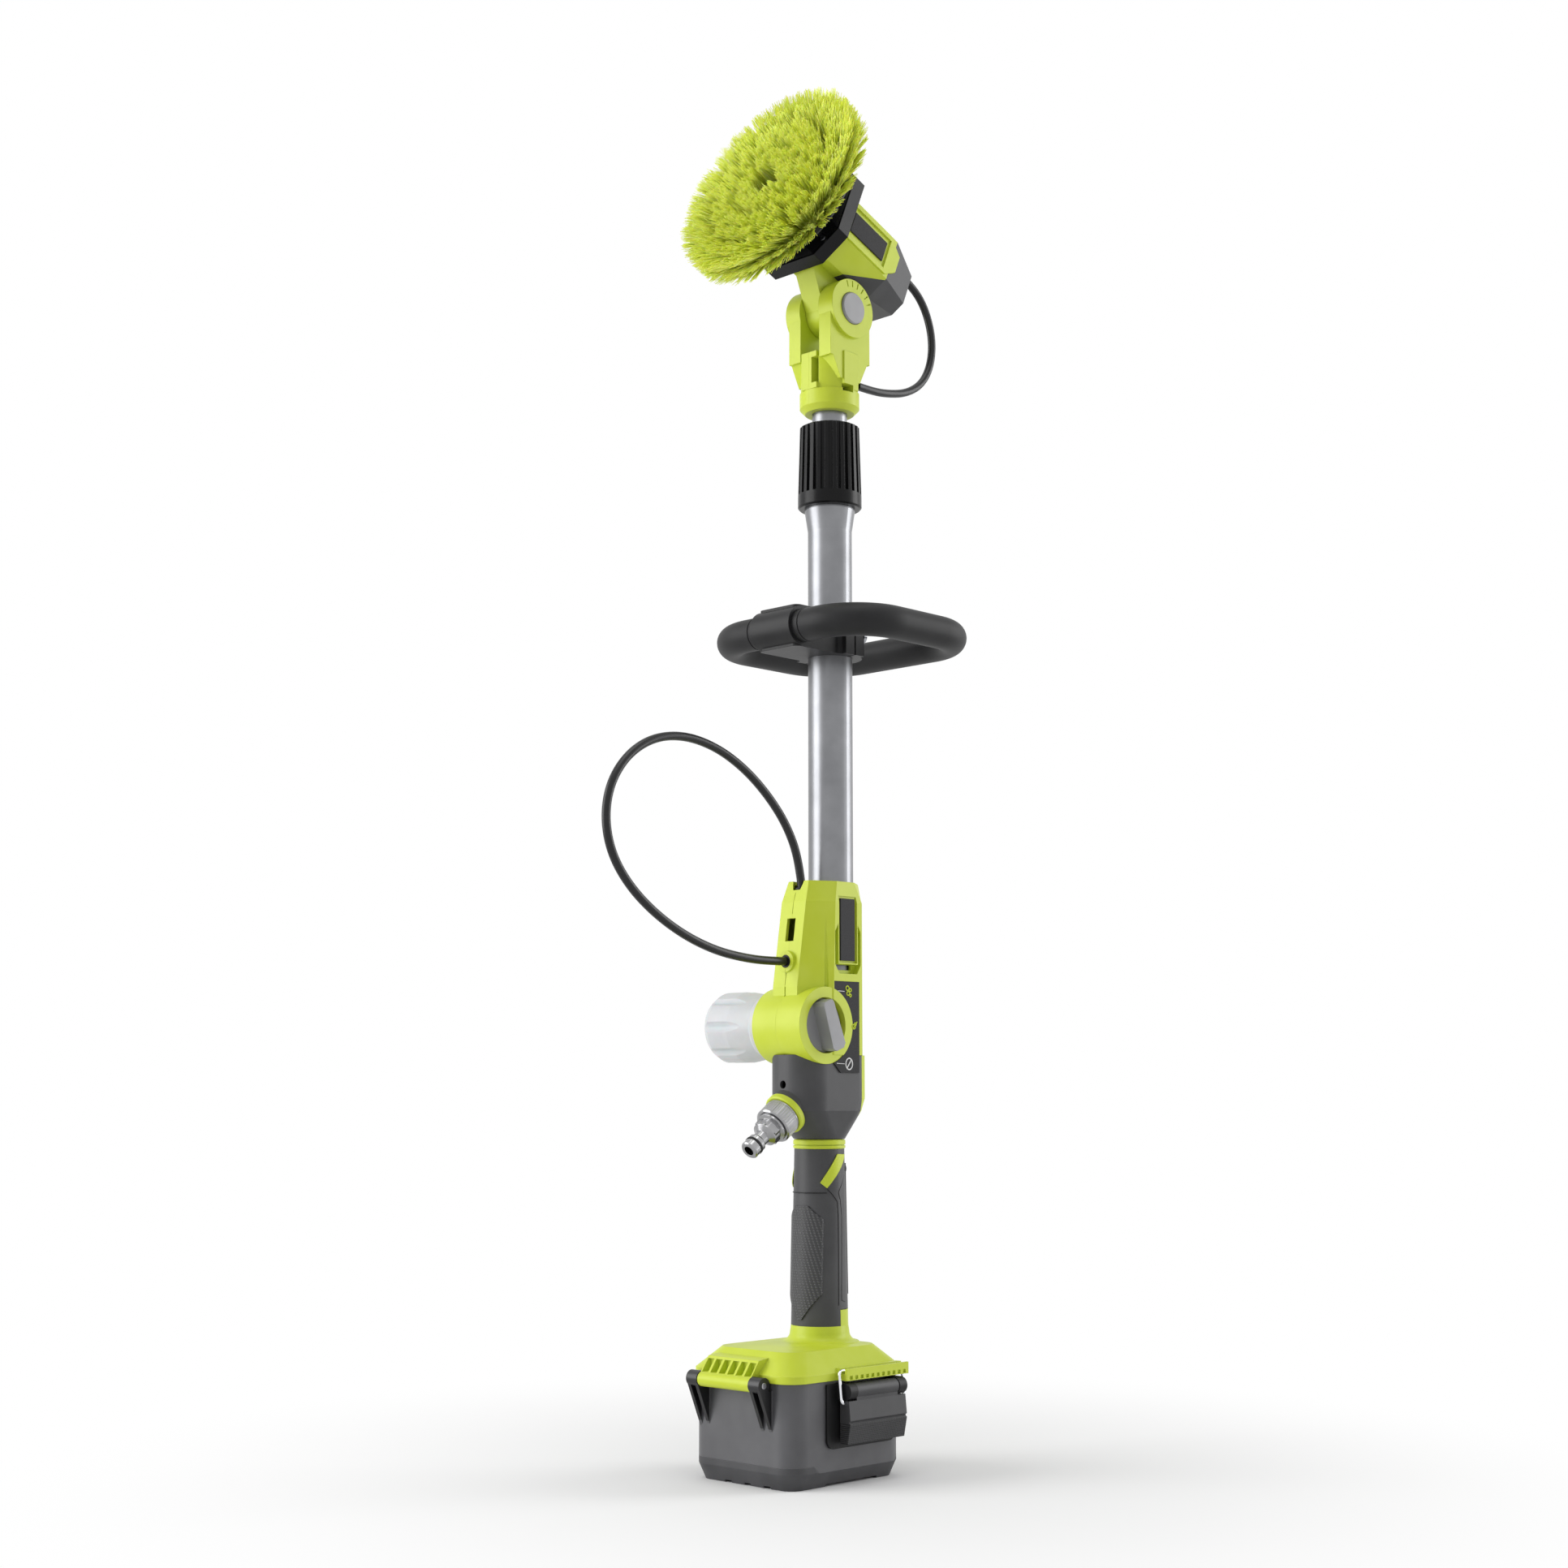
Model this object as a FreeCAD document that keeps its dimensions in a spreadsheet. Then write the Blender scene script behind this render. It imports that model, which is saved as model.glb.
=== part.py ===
import FreeCAD, Part
import Sketcher
import math
import os

# Cordless telescopic scrubber, stored short and standing on its battery box.
# The origin is on the floor under the pole, +Z runs up the pole, -Y is the side
# that the brush looks to and +X is the side with the dial, the latch and the
# tilt button.

os.makedirs("parts", exist_ok=True)
doc = FreeCAD.newDocument("telescopic_scrubber")
sheet = doc.addObject("Spreadsheet::Sheet", "Sizes")

# Driving dimensions in millimetres, with angles in degrees and plain counts
SIZES = {
    # Clearances shared by all pieces
    "running_gap": 0.05,
    "seat_gap": 0.3,
    "cut_overrun": 2.0,
    # Battery box
    "box_width": 90.0,
    "box_front": 84.5,
    "box_back": 20.0,
    "box_corner": 14.0,
    "boot_height": 14.0,
    "boot_wall": 3.0,
    "boot_bevel_inset": 4.5,
    "boot_bevel_height": 10.0,
    "boot_floor": 6.5,
    "boot_dip": 4.5,
    "boot_dip_front": 60.0,
    "boot_dip_back": 10.0,
    "boot_dip_slope": 5.0,
    "foot_gap_front": 50.0,
    "foot_gap_back": 3.0,
    "foot_gap_depth": 1.5,
    "foot_notch_width": 6.0,
    "foot_notch_depth": 1.5,
    "foot_notch_reach": 9.0,
    "foot_notch_pitch": 17.0,
    "tub_height": 64.0,
    "tub_wall": 3.0,
    "tub_liner": 2.0,
    "tub_floor": 3.0,
    "lid_overhang": 1.6,
    "lid_rim_height": 4.5,
    "lid_slope_height": 13.0,
    "lid_slope_inset": 12.0,
    "lid_crown_height": 1.0,
    "lid_crown_inset": 18.0,
    "lid_wall": 3.0,
    "flare_waist": 19.3,
    "flare_fillet": 6.0,
    "gasket_width": 2.6,
    "gasket_height": 1.4,
    # Hinge of the battery box
    "hinge_centre": -4.0,
    "hinge_reach": 7.0,
    "hinge_drop": 0.8,
    "hinge_panel_drop": 3.0,
    "hinge_pin_radius": 1.9,
    "hinge_barrel_radius": 4.6,
    "hinge_barrel_length": 45.0,
    "hinge_lug_width": 9.5,
    "hinge_lug_radius": 5.0,
    "hinge_fin_width": 2.6,
    "hinge_fin_height": 33.0,
    "hinge_slot_count": 6,
    "hinge_rib_width": 2.0,
    "hinge_slot_floor": 0.8,
    # Latch of the battery box
    "latch_centre": -18.0,
    "latch_width": 53.0,
    "latch_base_front": 36.5,
    "latch_base_back": 27.0,
    "latch_base_corner": 6.0,
    "latch_base_depth": 1.6,
    "latch_base_bottom": 23.0,
    "latch_base_top": 62.0,
    "latch_axle_height": 57.6,
    "latch_axle_out": 7.2,
    "latch_axle_radius": 1.6,
    "latch_block_radius": 5.2,
    "latch_block_width": 7.0,
    "lever_thickness": 3.4,
    "lever_barrel_radius": 4.8,
    "lever_length": 31.6,
    "lever_grip_height": 12.0,
    "lever_grip_step": 1.2,
    "bail_wire": 2.2,
    "bail_pivot_drop": 7.0,
    "bail_spread": 29.5,
    "bail_lean": 2.2,
    "lip_centre": -15.5,
    "lip_width": 58.0,
    "lip_depth": 7.4,
    "lip_height": 7.2,
    "lip_front_wall": 1.7,
    "lip_groove_depth": 2.9,
    "lip_groove_width": 4.6,
    "lip_tooth_count": 11,
    "lip_tooth_pitch": 5.0,
    "lip_tooth_width": 2.6,
    "lip_tooth_height": 2.2,
    "lip_tooth_depth": 1.2,
    # Battery and its terminals
    "pack_width": 74.0,
    "pack_length": 77.0,
    "pack_back": -1.0,
    "pack_corner": 6.0,
    "terminal_width": 46.0,
    "terminal_length": 52.0,
    # Handle
    "handle_offset": 11.8,
    "handle_top_radius": 16.4,
    "handle_bottom_radius": 18.6,
    "handle_bottom": 93.0,
    "handle_top": 205.5,
    "handle_wall": 2.6,
    "handle_ring_height": 6.0,
    "handle_ring_groove": 0.7,
    "grip_pad_height": 72.0,
    "grip_pad_bottom": 97.0,
    "grip_pad_depth": 1.0,
    "trigger_bottom": 112.0,
    "trigger_top": 196.0,
    "trigger_half_width": 10.5,
    "trigger_proud": 1.0,
    "trigger_wall": 2.6,
    "trigger_pin_radius": 1.8,
    "trigger_side_gap": 0.5,
    "switch_width": 10.0,
    "switch_height": 20.0,
    "spring_radius": 2.4,
    "spring_wall": 0.8,
    # Housing below the tube
    "housing_bottom": 211.8,
    "housing_parting": 266.0,
    "housing_top": 380.0,
    "housing_half_width": 22.0,
    "housing_wall": 2.4,
    "housing_front_flat": 11.0,
    "housing_front": 44.0,
    "housing_front_top": 31.0,
    "housing_side_front": 21.0,
    "housing_side_back": 6.5,
    "housing_back": 18.5,
    "housing_shoulder": 366.0,
    "housing_front_knee": 310.0,
    "lower_column_radius": 20.0,
    "lower_column_offset": 26.0,
    "lower_waist": 230.0,
    "lower_waist_back": 15.0,
    "lower_hip": 238.0,
    "lower_back_radius": 14.5,
    "lower_lime_front": 7.0,
    "seam_depth": 0.6,
    "seam_half_width": 0.4,
    "window_width": 7.5,
    "window_height": 15.0,
    "window_bottom": 340.0,
    "side_recess_depth": 1.6,
    "side_recess_front": 15.6,
    "side_recess_back": 1.6,
    "side_recess_bottom": 326.0,
    "side_recess_top": 370.0,
    "side_pocket_depth": 4.4,
    "side_pocket_liner": 1.8,
    "side_pocket_front": 19.5,
    "side_pocket_back": 5.0,
    "side_pocket_bottom": 319.0,
    "side_pocket_knee": 325.0,
    "side_pocket_shoulder": 346.5,
    "side_pocket_top": 353.0,
    "side_window_bottom": 321.6,
    "side_window_top": 325.0,
    "channel_radius": 1.4,
    "channel_share": 0.8,
    "cable_boss_radius": 7.0,
    "cable_boss_height": 326.6,
    "cable_notch_radius": 5.6,
    "cable_notch_depth": 6.0,
    "badge_thickness": 1.3,
    "badge_margin": 1.6,
    "badge_lift": 6.0,
    "dial_plate_top": 314.0,
    "dial_plate_bottom": 254.5,
    "dial_plate_back": 3.5,
    "dial_plate_thickness": 1.0,
    "screw_radius": 2.6,
    "screw_depth": 8.0,
    # Soap valve, its dial and the soap bottle
    "valve_rise": 73.2,
    "valve_offset": 28.0,
    "barrel_radius": 25.0,
    "barrel_wall": 2.6,
    "barrel_overlap": 0.5,
    "valve_body_radius": 14.0,
    "dial_radius": 17.5,
    "dial_recess": 6.0,
    "dial_floor": 2.0,
    "dial_disc": 3.0,
    "dial_bar_height": 10.5,
    "dial_bar_width": 12.0,
    "dial_bar_length": 33.0,
    "dial_lean": 20.0,
    "dial_stem_radius": 4.0,
    "bottle_radius": 23.6,
    "bottle_neck_radius": 21.8,
    "bottle_collar": 5.0,
    "bottle_length": 50.0,
    "bottle_wall": 1.8,
    "bottle_mouth_radius": 15.0,
    "bottle_lobe_depth": 1.6,
    "bottle_lobe_count": 8,
    "bottle_rounding": 7.0,
    # Water inlet
    "inlet_angle": 35.5,
    "inlet_height": 229.5,
    "inlet_reach": 42.5,
    "inlet_ring_radius": 14.2,
    "inlet_ring_width": 4.0,
    "inlet_ring_edge": 0.8,
    "inlet_socket_radius": 11.5,
    "coupling_radius": 12.6,
    "coupling_length": 12.0,
    "coupling_rib_depth": 0.5,
    "coupling_rib_count": 48,
    "nipple_flange_radius": 10.6,
    "nipple_hex_radius": 8.4,
    "nipple_neck_radius": 5.0,
    "nipple_tip_radius": 6.2,
    "nipple_bore": 3.4,
    "nipple_length": 26.0,
    "nipple_groove": 1.2,
    # Tubes
    "outer_tube_radius": 15.0,
    "outer_tube_wall": 1.5,
    "outer_tube_bottom": 300.0,
    "outer_tube_top_drop": 107.0,
    "ferrule_radius": 17.2,
    "ferrule_start_drop": 154.0,
    "ferrule_end_drop": 139.5,
    "inner_tube_radius": 12.0,
    "inner_tube_wall": 1.4,
    "inner_tube_bottom": 316.0,
    "inner_tube_top_drop": 31.0,
    "bush_height": 18.0,
    "bush_skirt": 8.0,
    "collar_bottom_drop": 138.0,
    "collar_top_drop": 80.0,
    "collar_bottom_radius": 21.8,
    "collar_top_radius": 20.4,
    "collar_cavity_radius": 17.4,
    "collar_lip": 5.0,
    "collar_band": 8.0,
    "collar_rib_count": 24,
    "collar_rib_depth": 1.1,
    "collar_rib_width": 2.6,
    "collet_top_drop": 87.0,
    "collet_bottom_drop": 123.0,
    "collet_radius": 16.8,
    "collet_tip_radius": 14.4,
    "collet_slot_count": 6,
    "collet_slot_width": 1.6,
    # Neck that carries the tilting head
    "neck_bottom_drop": 71.0,
    "neck_radius": 19.6,
    "neck_band_height": 14.0,
    "neck_band_proud": 0.9,
    "neck_shoulder_drop": 31.0,
    "neck_strip_half_width": 7.0,
    "neck_strip_proud": 1.0,
    "neck_slot_width": 4.6,
    "neck_slot_bottom_drop": 53.0,
    "neck_slot_top_drop": 35.0,
    "cable_hole_radius": 3.6,
    "cable_hole_height_drop": 59.0,
    "pivot_height": 775.0,
    "ear_radius": 20.5,
    "ear_outer": 19.6,
    "ear_inner": 8.8,
    "ear_boss": 2.4,
    "ear_mark_count": 6,
    "ear_mark_length": 4.4,
    "ear_mark_width": 0.9,
    "ear_mark_depth": 0.7,
    "ear_mark_step": 17.0,
    "sleeve_radius": 6.0,
    "sleeve_wall": 1.2,
    "tilt_button_radius": 11.0,
    "tilt_button_proud": 1.6,
    "tilt_button_depth": 8.0,
    "tilt_button_travel": 3.0,
    # Motor head, drawn from the pivot with its brush axis straight up
    "tilt_angle": 67.5,
    "head_offset": 50.0,
    "lug_half_width": 8.4,
    "lug_radius": 14.5,
    "lug_back": 2.0,
    "head_half_width": 30.0,
    "head_half_height": 29.0,
    "head_chamfer": 13.0,
    "head_front": 37.0,
    "head_waist": -14.0,
    "head_rear": -44.0,
    "head_rear_half_width": 20.0,
    "head_rear_chamfer": 8.0,
    "head_wall": 2.5,
    "head_gland_side": 9.0,
    "head_gland_rise": 15.5,
    "head_chin_front": 26.0,
    "head_chin_height": 33.0,
    "head_chin_low": 15.5,
    "head_panel_proud": 1.2,
    "cover_half_width": 39.5,
    "cover_chamfer": 17.0,
    "cover_band": 10.0,
    "cover_nose": 9.0,
    "cover_nose_radius": 30.0,
    "cover_wall": 2.6,
    "vent_count": 4,
    "vent_rib_width": 2.2,
    "vent_rib_height": 3.2,
    "vent_length": 17.0,
    "motor_radius": 14.0,
    "motor_length": 52.0,
    "motor_wall": 1.5,
    "rotor_radius": 11.0,
    "shaft_radius": 1.6,
    "gear_module": 0.6,
    "pinion_teeth": 8,
    "gear_teeth": 32,
    "gear_width": 8.0,
    "gear_backlash": 0.12,
    "gear_root_share": 1.15,
    "gear_tip_share": 0.7,
    "gear_gullet_share": 0.75,
    "gear_land_share": 0.26,
    "spindle_radius": 5.0,
    "bearing_radius": 11.0,
    "bearing_width": 7.0,
    # Brush, measured along the brush axis from the pivot
    "bristle_face": 93.0,
    "brush_radius": 77.0,
    "brush_plate_radius": 56.0,
    "brush_plate_back": 58.5,
    "brush_plate_thickness": 7.0,
    "brush_hub_radius": 13.0,
    "brush_hub_height": 9.0,
    "outer_row_inner": 46.0,
    "outer_row_outer": 54.5,
    "outer_tip_inner": 62.0,
    "middle_row_inner": 29.0,
    "middle_row_outer": 39.0,
    "inner_row_inner": 14.5,
    "inner_row_outer": 23.0,
    "row_splay": 5.0,
    # Second handle clamped on the outer tube
    "loop_height_drop": 228.0,
    "loop_half_width": 68.0,
    "loop_front": 46.0,
    "loop_back": 68.0,
    "loop_corner": 35.0,
    "loop_bar_radius": 11.0,
    "loop_arm_gap": 46.0,
    "clamp_height": 28.0,
    "clamp_radius": 21.5,
    "clamp_arm_width": 36.0,
    "clamp_split": 1.2,
    "clamp_bolt_radius": 2.5,
    "clamp_bolt_spacing": 37.0,
    "clamp_ear_width": 9.0,
    "clamp_knob_radius": 5.0,
    # Cables
    "cable_radius": 2.8,
    "grommet_radius": 4.2,
    "grommet_width": 4.0,
    "grommet_proud": 1.6,
    "gland_radius": 4.6,
    "gland_height": 3.0,
}

for row, (alias, number) in enumerate(SIZES.items(), start=1):
    sheet.set("A%d" % row, alias)
    sheet.set("B%d" % row, str(number))
    sheet.setAlias("B%d" % row, alias)
doc.recompute()


class Size(float):
    """A number from the sheet that also carries the formula it was worked out by."""

    def __new__(cls, number, formula):
        made = float.__new__(cls, number)
        made.formula = formula
        return made

    def joined(self, other, sign, number):
        return Size(number, "(%s %s %s)" % (self.formula, sign, formula_of(other)))

    def joined_after(self, other, sign, number):
        return Size(number, "(%s %s %s)" % (formula_of(other), sign, self.formula))

    def __add__(self, other):
        return self.joined(other, "+", float(self) + float(other))

    def __radd__(self, other):
        return self.joined_after(other, "+", float(other) + float(self))

    def __sub__(self, other):
        return self.joined(other, "-", float(self) - float(other))

    def __rsub__(self, other):
        return self.joined_after(other, "-", float(other) - float(self))

    def __mul__(self, other):
        return self.joined(other, "*", float(self) * float(other))

    def __rmul__(self, other):
        return self.joined_after(other, "*", float(other) * float(self))

    def __truediv__(self, other):
        return self.joined(other, "/", float(self) / float(other))

    def __neg__(self):
        return Size(-float(self), "(-%s)" % self.formula)


def formula_of(number):
    """The formula of a Size, or the plain digits of any other number."""
    return getattr(number, "formula", repr(float(number)))


class SheetSizes:
    """Gives each cell of the sheet as a Size, by its alias."""

    def __getattr__(self, alias):
        return Size(getattr(sheet, alias), "Sizes." + alias)


def cosine(angle):
    return Size(math.cos(math.radians(angle)), "cos(%s * 1deg)" % formula_of(angle))


def sine(angle):
    return Size(math.sin(math.radians(angle)), "sin(%s * 1deg)" % formula_of(angle))


s = SheetSizes()
V = FreeCAD.Vector
AXIS_X = V(1, 0, 0)
AXIS_Y = V(0, 1, 0)
AXIS_Z = V(0, 0, 1)
UPRIGHT = FreeCAD.Rotation()
FACING_RIGHT = FreeCAD.Rotation(AXIS_Y, 90)
FACING_LEFT = FreeCAD.Rotation(AXIS_Y, -90)
HEAD_TURN = FreeCAD.Rotation(AXIS_X, s.tilt_angle)
INLET_TURN = FreeCAD.Rotation(AXIS_X, 90 + s.inlet_angle)
pieces = []

# Heights on the pole, which the sheet gives as drops below the tilt pivot

OUTER_TUBE_TOP = s.pivot_height - s.outer_tube_top_drop
FERRULE_START = s.pivot_height - s.ferrule_start_drop
FERRULE_END = s.pivot_height - s.ferrule_end_drop
INNER_TUBE_TOP = s.pivot_height - s.inner_tube_top_drop
COLLAR_BOTTOM = s.pivot_height - s.collar_bottom_drop
COLLAR_TOP = s.pivot_height - s.collar_top_drop
COLLET_TOP = s.pivot_height - s.collet_top_drop
COLLET_BOTTOM = s.pivot_height - s.collet_bottom_drop
NECK_BOTTOM = s.pivot_height - s.neck_bottom_drop
NECK_SHOULDER = s.pivot_height - s.neck_shoulder_drop
NECK_SLOT_BOTTOM = s.pivot_height - s.neck_slot_bottom_drop
NECK_SLOT_TOP = s.pivot_height - s.neck_slot_top_drop
CABLE_HOLE_HEIGHT = s.pivot_height - s.cable_hole_height_drop
LOOP_HEIGHT = s.pivot_height - s.loop_height_drop
VALVE_HEIGHT = s.housing_bottom + s.valve_rise



# Helpers for bodies, sketches and plain shapes

def place(piece, base=(0, 0, 0), turn=UPRIGHT):
    """Puts a piece in the frame and ties its place to the sheet."""
    piece.Placement = FreeCAD.Placement(V(*[float(part) for part in base]), turn)
    for letter, part in zip("xyz", base):
        if isinstance(part, Size):
            piece.setExpression(".Placement.Base." + letter, part.formula)


def new_body(label):
    body = doc.addObject("PartDesign::Body", label)
    body.Label = label
    pieces.append(body)
    return body


def bind_place(sketch, line, formula_x, formula_y):
    """Ties the first point of a line to two sizes."""
    for kind, number in (("DistanceX", formula_x), ("DistanceY", formula_y)):
        if float(number) == 0:
            axis = -2 if kind == "DistanceX" else -1
            sketch.addConstraint(Sketcher.Constraint("PointOnObject", line, 1, axis))
            continue
        index = sketch.addConstraint(Sketcher.Constraint(kind, -1, 1, line, 1, float(number)))
        if isinstance(number, Size):
            sketch.setExpression("Constraints[%d]" % index, number.formula)


def add_outline(sketch, corners):
    """Draws a closed outline through corners, each tied to the sheet."""
    first = sketch.GeometryCount
    count = len(corners)
    for index, corner in enumerate(corners):
        after = corners[(index + 1) % count]
        ends = [V(float(x), float(y), 0) for x, y in (corner, after)]
        sketch.addGeometry(Part.LineSegment(*ends), False)
    for index in range(count):
        after = first + (index + 1) % count
        sketch.addConstraint(Sketcher.Constraint("Coincident", first + index, 2, after, 1))
    for index, (x, y) in enumerate(corners):
        bind_place(sketch, first + index, x, y)


def add_circle(sketch, x, y, radius):
    """Draws a circle tied to the sheet."""
    circle = sketch.GeometryCount
    sketch.addGeometry(Part.Circle(V(float(x), float(y), 0), AXIS_Z, float(radius)), False)
    for kind, axis, number in (("DistanceX", -2, x), ("DistanceY", -1, y)):
        if float(number) == 0:
            sketch.addConstraint(Sketcher.Constraint("PointOnObject", circle, 3, axis))
            continue
        index = sketch.addConstraint(Sketcher.Constraint(kind, -1, 1, circle, 3, float(number)))
        if isinstance(number, Size):
            sketch.setExpression("Constraints[%d]" % index, number.formula)
    index = sketch.addConstraint(Sketcher.Constraint("Radius", circle, float(radius)))
    if isinstance(radius, Size):
        sketch.setExpression("Constraints[%d]" % index, radius.formula)


def new_sketch(body, role, outlines=(), circles=()):
    """A sketch on one of the body's own origin planes."""
    sketch = body.newObject("Sketcher::SketchObject", "Sketch")
    plane = [item for item in body.Origin.OriginFeatures if item.Role == role][0]
    sketch.AttachmentSupport = (plane, [""])
    sketch.MapMode = "FlatFace"
    for corners in outlines:
        add_outline(sketch, corners)
    for x, y, radius in circles:
        add_circle(sketch, x, y, radius)
    return sketch


def turned(label, *outlines):
    """A body turned about its own Z axis from outlines of (radius, height) corners."""
    body = new_body(label)
    sketch = new_sketch(body, "XZ_Plane", outlines)
    turn = body.newObject("PartDesign::Revolution", "Revolution")
    turn.Profile = sketch
    turn.ReferenceAxis = (sketch, ["V_Axis"])
    turn.Angle = 360
    body.Tip = turn
    return body


def padded(label, length, outlines=(), circles=(), role="XY_Plane"):
    """A body padded from a sketch on one of its origin planes."""
    body = new_body(label)
    add_pad(body, length, outlines, circles, role)
    return body


def add_pad(body, length, outlines=(), circles=(), role="XY_Plane", backwards=False):
    pad = body.newObject("PartDesign::Pad", "Pad")
    pad.Profile = new_sketch(body, role, outlines, circles)
    pad.Length = float(length)
    if isinstance(length, Size):
        pad.setExpression("Length", length.formula)
    pad.Reversed = backwards
    body.Tip = pad
    return pad


def add_pocket(body, length, outlines=(), circles=(), role="XY_Plane", backwards=True, lift=None):
    """Cuts a sketched outline into the body; the cut has to remove something."""
    sketch = new_sketch(body, role, outlines, circles)
    if lift is not None:
        sketch.AttachmentOffset = FreeCAD.Placement(V(0, 0, float(lift)), UPRIGHT)
        if isinstance(lift, Size):
            sketch.setExpression(".AttachmentOffset.Base.z", lift.formula)
    pocket = body.newObject("PartDesign::Pocket", "Pocket")
    pocket.Profile = sketch
    pocket.Length = float(length)
    if isinstance(length, Size):
        pocket.setExpression("Length", length.formula)
    pocket.Reversed = backwards
    body.Tip = pocket
    return pocket


def repeat_round(body, feature, count):
    """Repeats a feature round the body's Z axis."""
    pattern = body.newObject("PartDesign::PolarPattern", "PolarPattern")
    pattern.Originals = [feature]
    axis = [item for item in body.Origin.OriginFeatures if item.Role == "Z_Axis"][0]
    pattern.Axis = (axis, [""])
    pattern.Angle = 360
    pattern.Occurrences = int(count)
    if isinstance(count, Size):
        pattern.setExpression("Occurrences", count.formula)
    body.Tip = pattern
    return pattern


def solid_piece(label, shape, base=(0, 0, 0), turn=UPRIGHT):
    """A piece whose shape is worked out here from the sheet."""
    piece = doc.addObject("Part::Feature", label)
    piece.Label = label
    piece.Shape = shape
    place(piece, base, turn)
    pieces.append(piece)
    return piece


def wire_of(points):
    corners = [V(*point) for point in points]
    return Part.makePolygon(corners + corners[:1])


def box(x0, x1, y0, y1, z0, z1):
    return Part.makeBox(x1 - x0, y1 - y0, z1 - z0, V(x0, y0, z0))


def rod(radius, length, base=(0, 0, 0), axis=AXIS_Z):
    return Part.makeCylinder(radius, length, V(*base), axis)


def ring_of(outer, inner, length, base=(0, 0, 0), axis=AXIS_Z):
    return rod(outer, length, base, axis).cut(rod(inner, length, base, axis))


def prism(points, reach, axis):
    """A flat outline drawn out along an axis."""
    return Part.Face(wire_of(points)).extrude(V(*[part * reach for part in axis]))


def rounded_block(x0, x1, y0, y1, z0, z1, radius):
    """An upright block with four rounded corners."""
    block = box(x0, x1, y0, y1, z0, z1)
    edges = [edge for edge in block.Edges if abs(edge.tangentAt(0).z) > abs(edge.tangentAt(0).x + edge.tangentAt(0).y)]
    return block.makeFillet(radius, edges)


def eight_corners(half_width, front, back, flat, side_front, side_back, z):
    """An eight-sided section: front and back at -front and +back along Y."""
    return [
        (flat, -front, z),
        (half_width, -side_front, z),
        (half_width, side_back, z),
        (flat, back, z),
        (-flat, back, z),
        (-half_width, side_back, z),
        (-half_width, -side_front, z),
        (-flat, -front, z),
    ]


def loft_between(sections):
    return Part.makeLoft([wire_of(section) for section in sections], True, True)


def smooth_block(half_width, front, back, front_radius, back_radius, z):
    """A section of four lines and four arcs with its own radius at front and back."""
    centres = [
        (half_width - back_radius, back - back_radius, 0, back_radius),
        (back_radius - half_width, back - back_radius, 90, back_radius),
        (front_radius - half_width, front_radius - front, 180, front_radius),
        (half_width - front_radius, front_radius - front, 270, front_radius),
    ]
    arcs = []
    for x, y, start, radius in centres:
        ends = []
        for turn in (0, 45, 90):
            bearing = math.radians(start + turn)
            ends.append(V(x + radius * math.cos(bearing), y + radius * math.sin(bearing), z))
        arcs.append(Part.Arc(*ends))
    edges = []
    for index, arc in enumerate(arcs):
        after = arcs[(index + 1) % len(arcs)]
        edges.append(arc.toShape())
        edges.append(Part.LineSegment(arc.EndPoint, after.StartPoint).toShape())
    return Part.Wire(edges)


def cable_along(points, radius):
    """A round cable on straight runs joined by tangent arcs, with its tightest bend."""
    corners = [V(*point) for point in points]
    edges = []
    start = corners[0]
    tightest = None
    for index in range(1, len(corners) - 1):
        before, corner, after = corners[index - 1:index + 2]
        run_in, run_out = corner - before, after - corner
        turn = run_in.getAngle(run_out)
        shorter = min(run_in.Length, run_out.Length)
        bend = 0.45 * shorter / math.tan(turn / 2)
        trim = 0.45 * shorter
        inward = corner - V(run_in).normalize() * trim
        outward = corner + V(run_out).normalize() * trim
        middle = (V(run_out).normalize() - V(run_in).normalize()).normalize()
        centre = corner + middle * (bend / math.cos(turn / 2))
        crest = centre - middle * bend
        edges.append(Part.LineSegment(start, inward).toShape())
        edges.append(Part.Arc(inward, crest, outward).toShape())
        start = outward
        tightest = bend if tightest is None else min(tightest, bend)
    edges.append(Part.LineSegment(start, corners[-1]).toShape())
    spine = Part.Wire(edges)
    section = Part.Wire(Part.Circle(corners[0], corners[1] - corners[0], radius).toShape())
    tube = spine.makePipeShell([section], True, False)
    share = tube.Volume / (math.pi * radius ** 2 * spine.Length)
    print("cable %.0f mm long, tightest bend %.1f mm, volume share %.4f" % (spine.Length, tightest, share))
    return tube


# Battery box: boot, tub, lid, gasket

HALF_BOX = s.box_width / 2
TUB_INNER = s.tub_wall + s.tub_liner
TUB_FLOOR = s.boot_floor + s.tub_floor


def box_block(inset, z0, z1):
    """The box's plan, drawn in by an inset."""
    corner = max(s.box_corner - inset, s.tub_liner)
    return rounded_block(inset - HALF_BOX, HALF_BOX - inset, inset - s.box_front, s.box_back - inset, z0, z1, corner)


def boot_dip():
    """The stretch on the right wall where the boot's edge runs lower."""
    low, high = s.boot_height - s.boot_dip, s.boot_height
    x = HALF_BOX - s.boot_wall
    outline = [
        (x, -s.boot_dip_front - s.boot_dip_slope, high),
        (x, -s.boot_dip_front, low),
        (x, s.boot_dip_back, low),
        (x, s.boot_dip_back + s.boot_dip_slope, high),
    ]
    return prism(outline, s.boot_wall + s.cut_overrun, AXIS_X)


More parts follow.
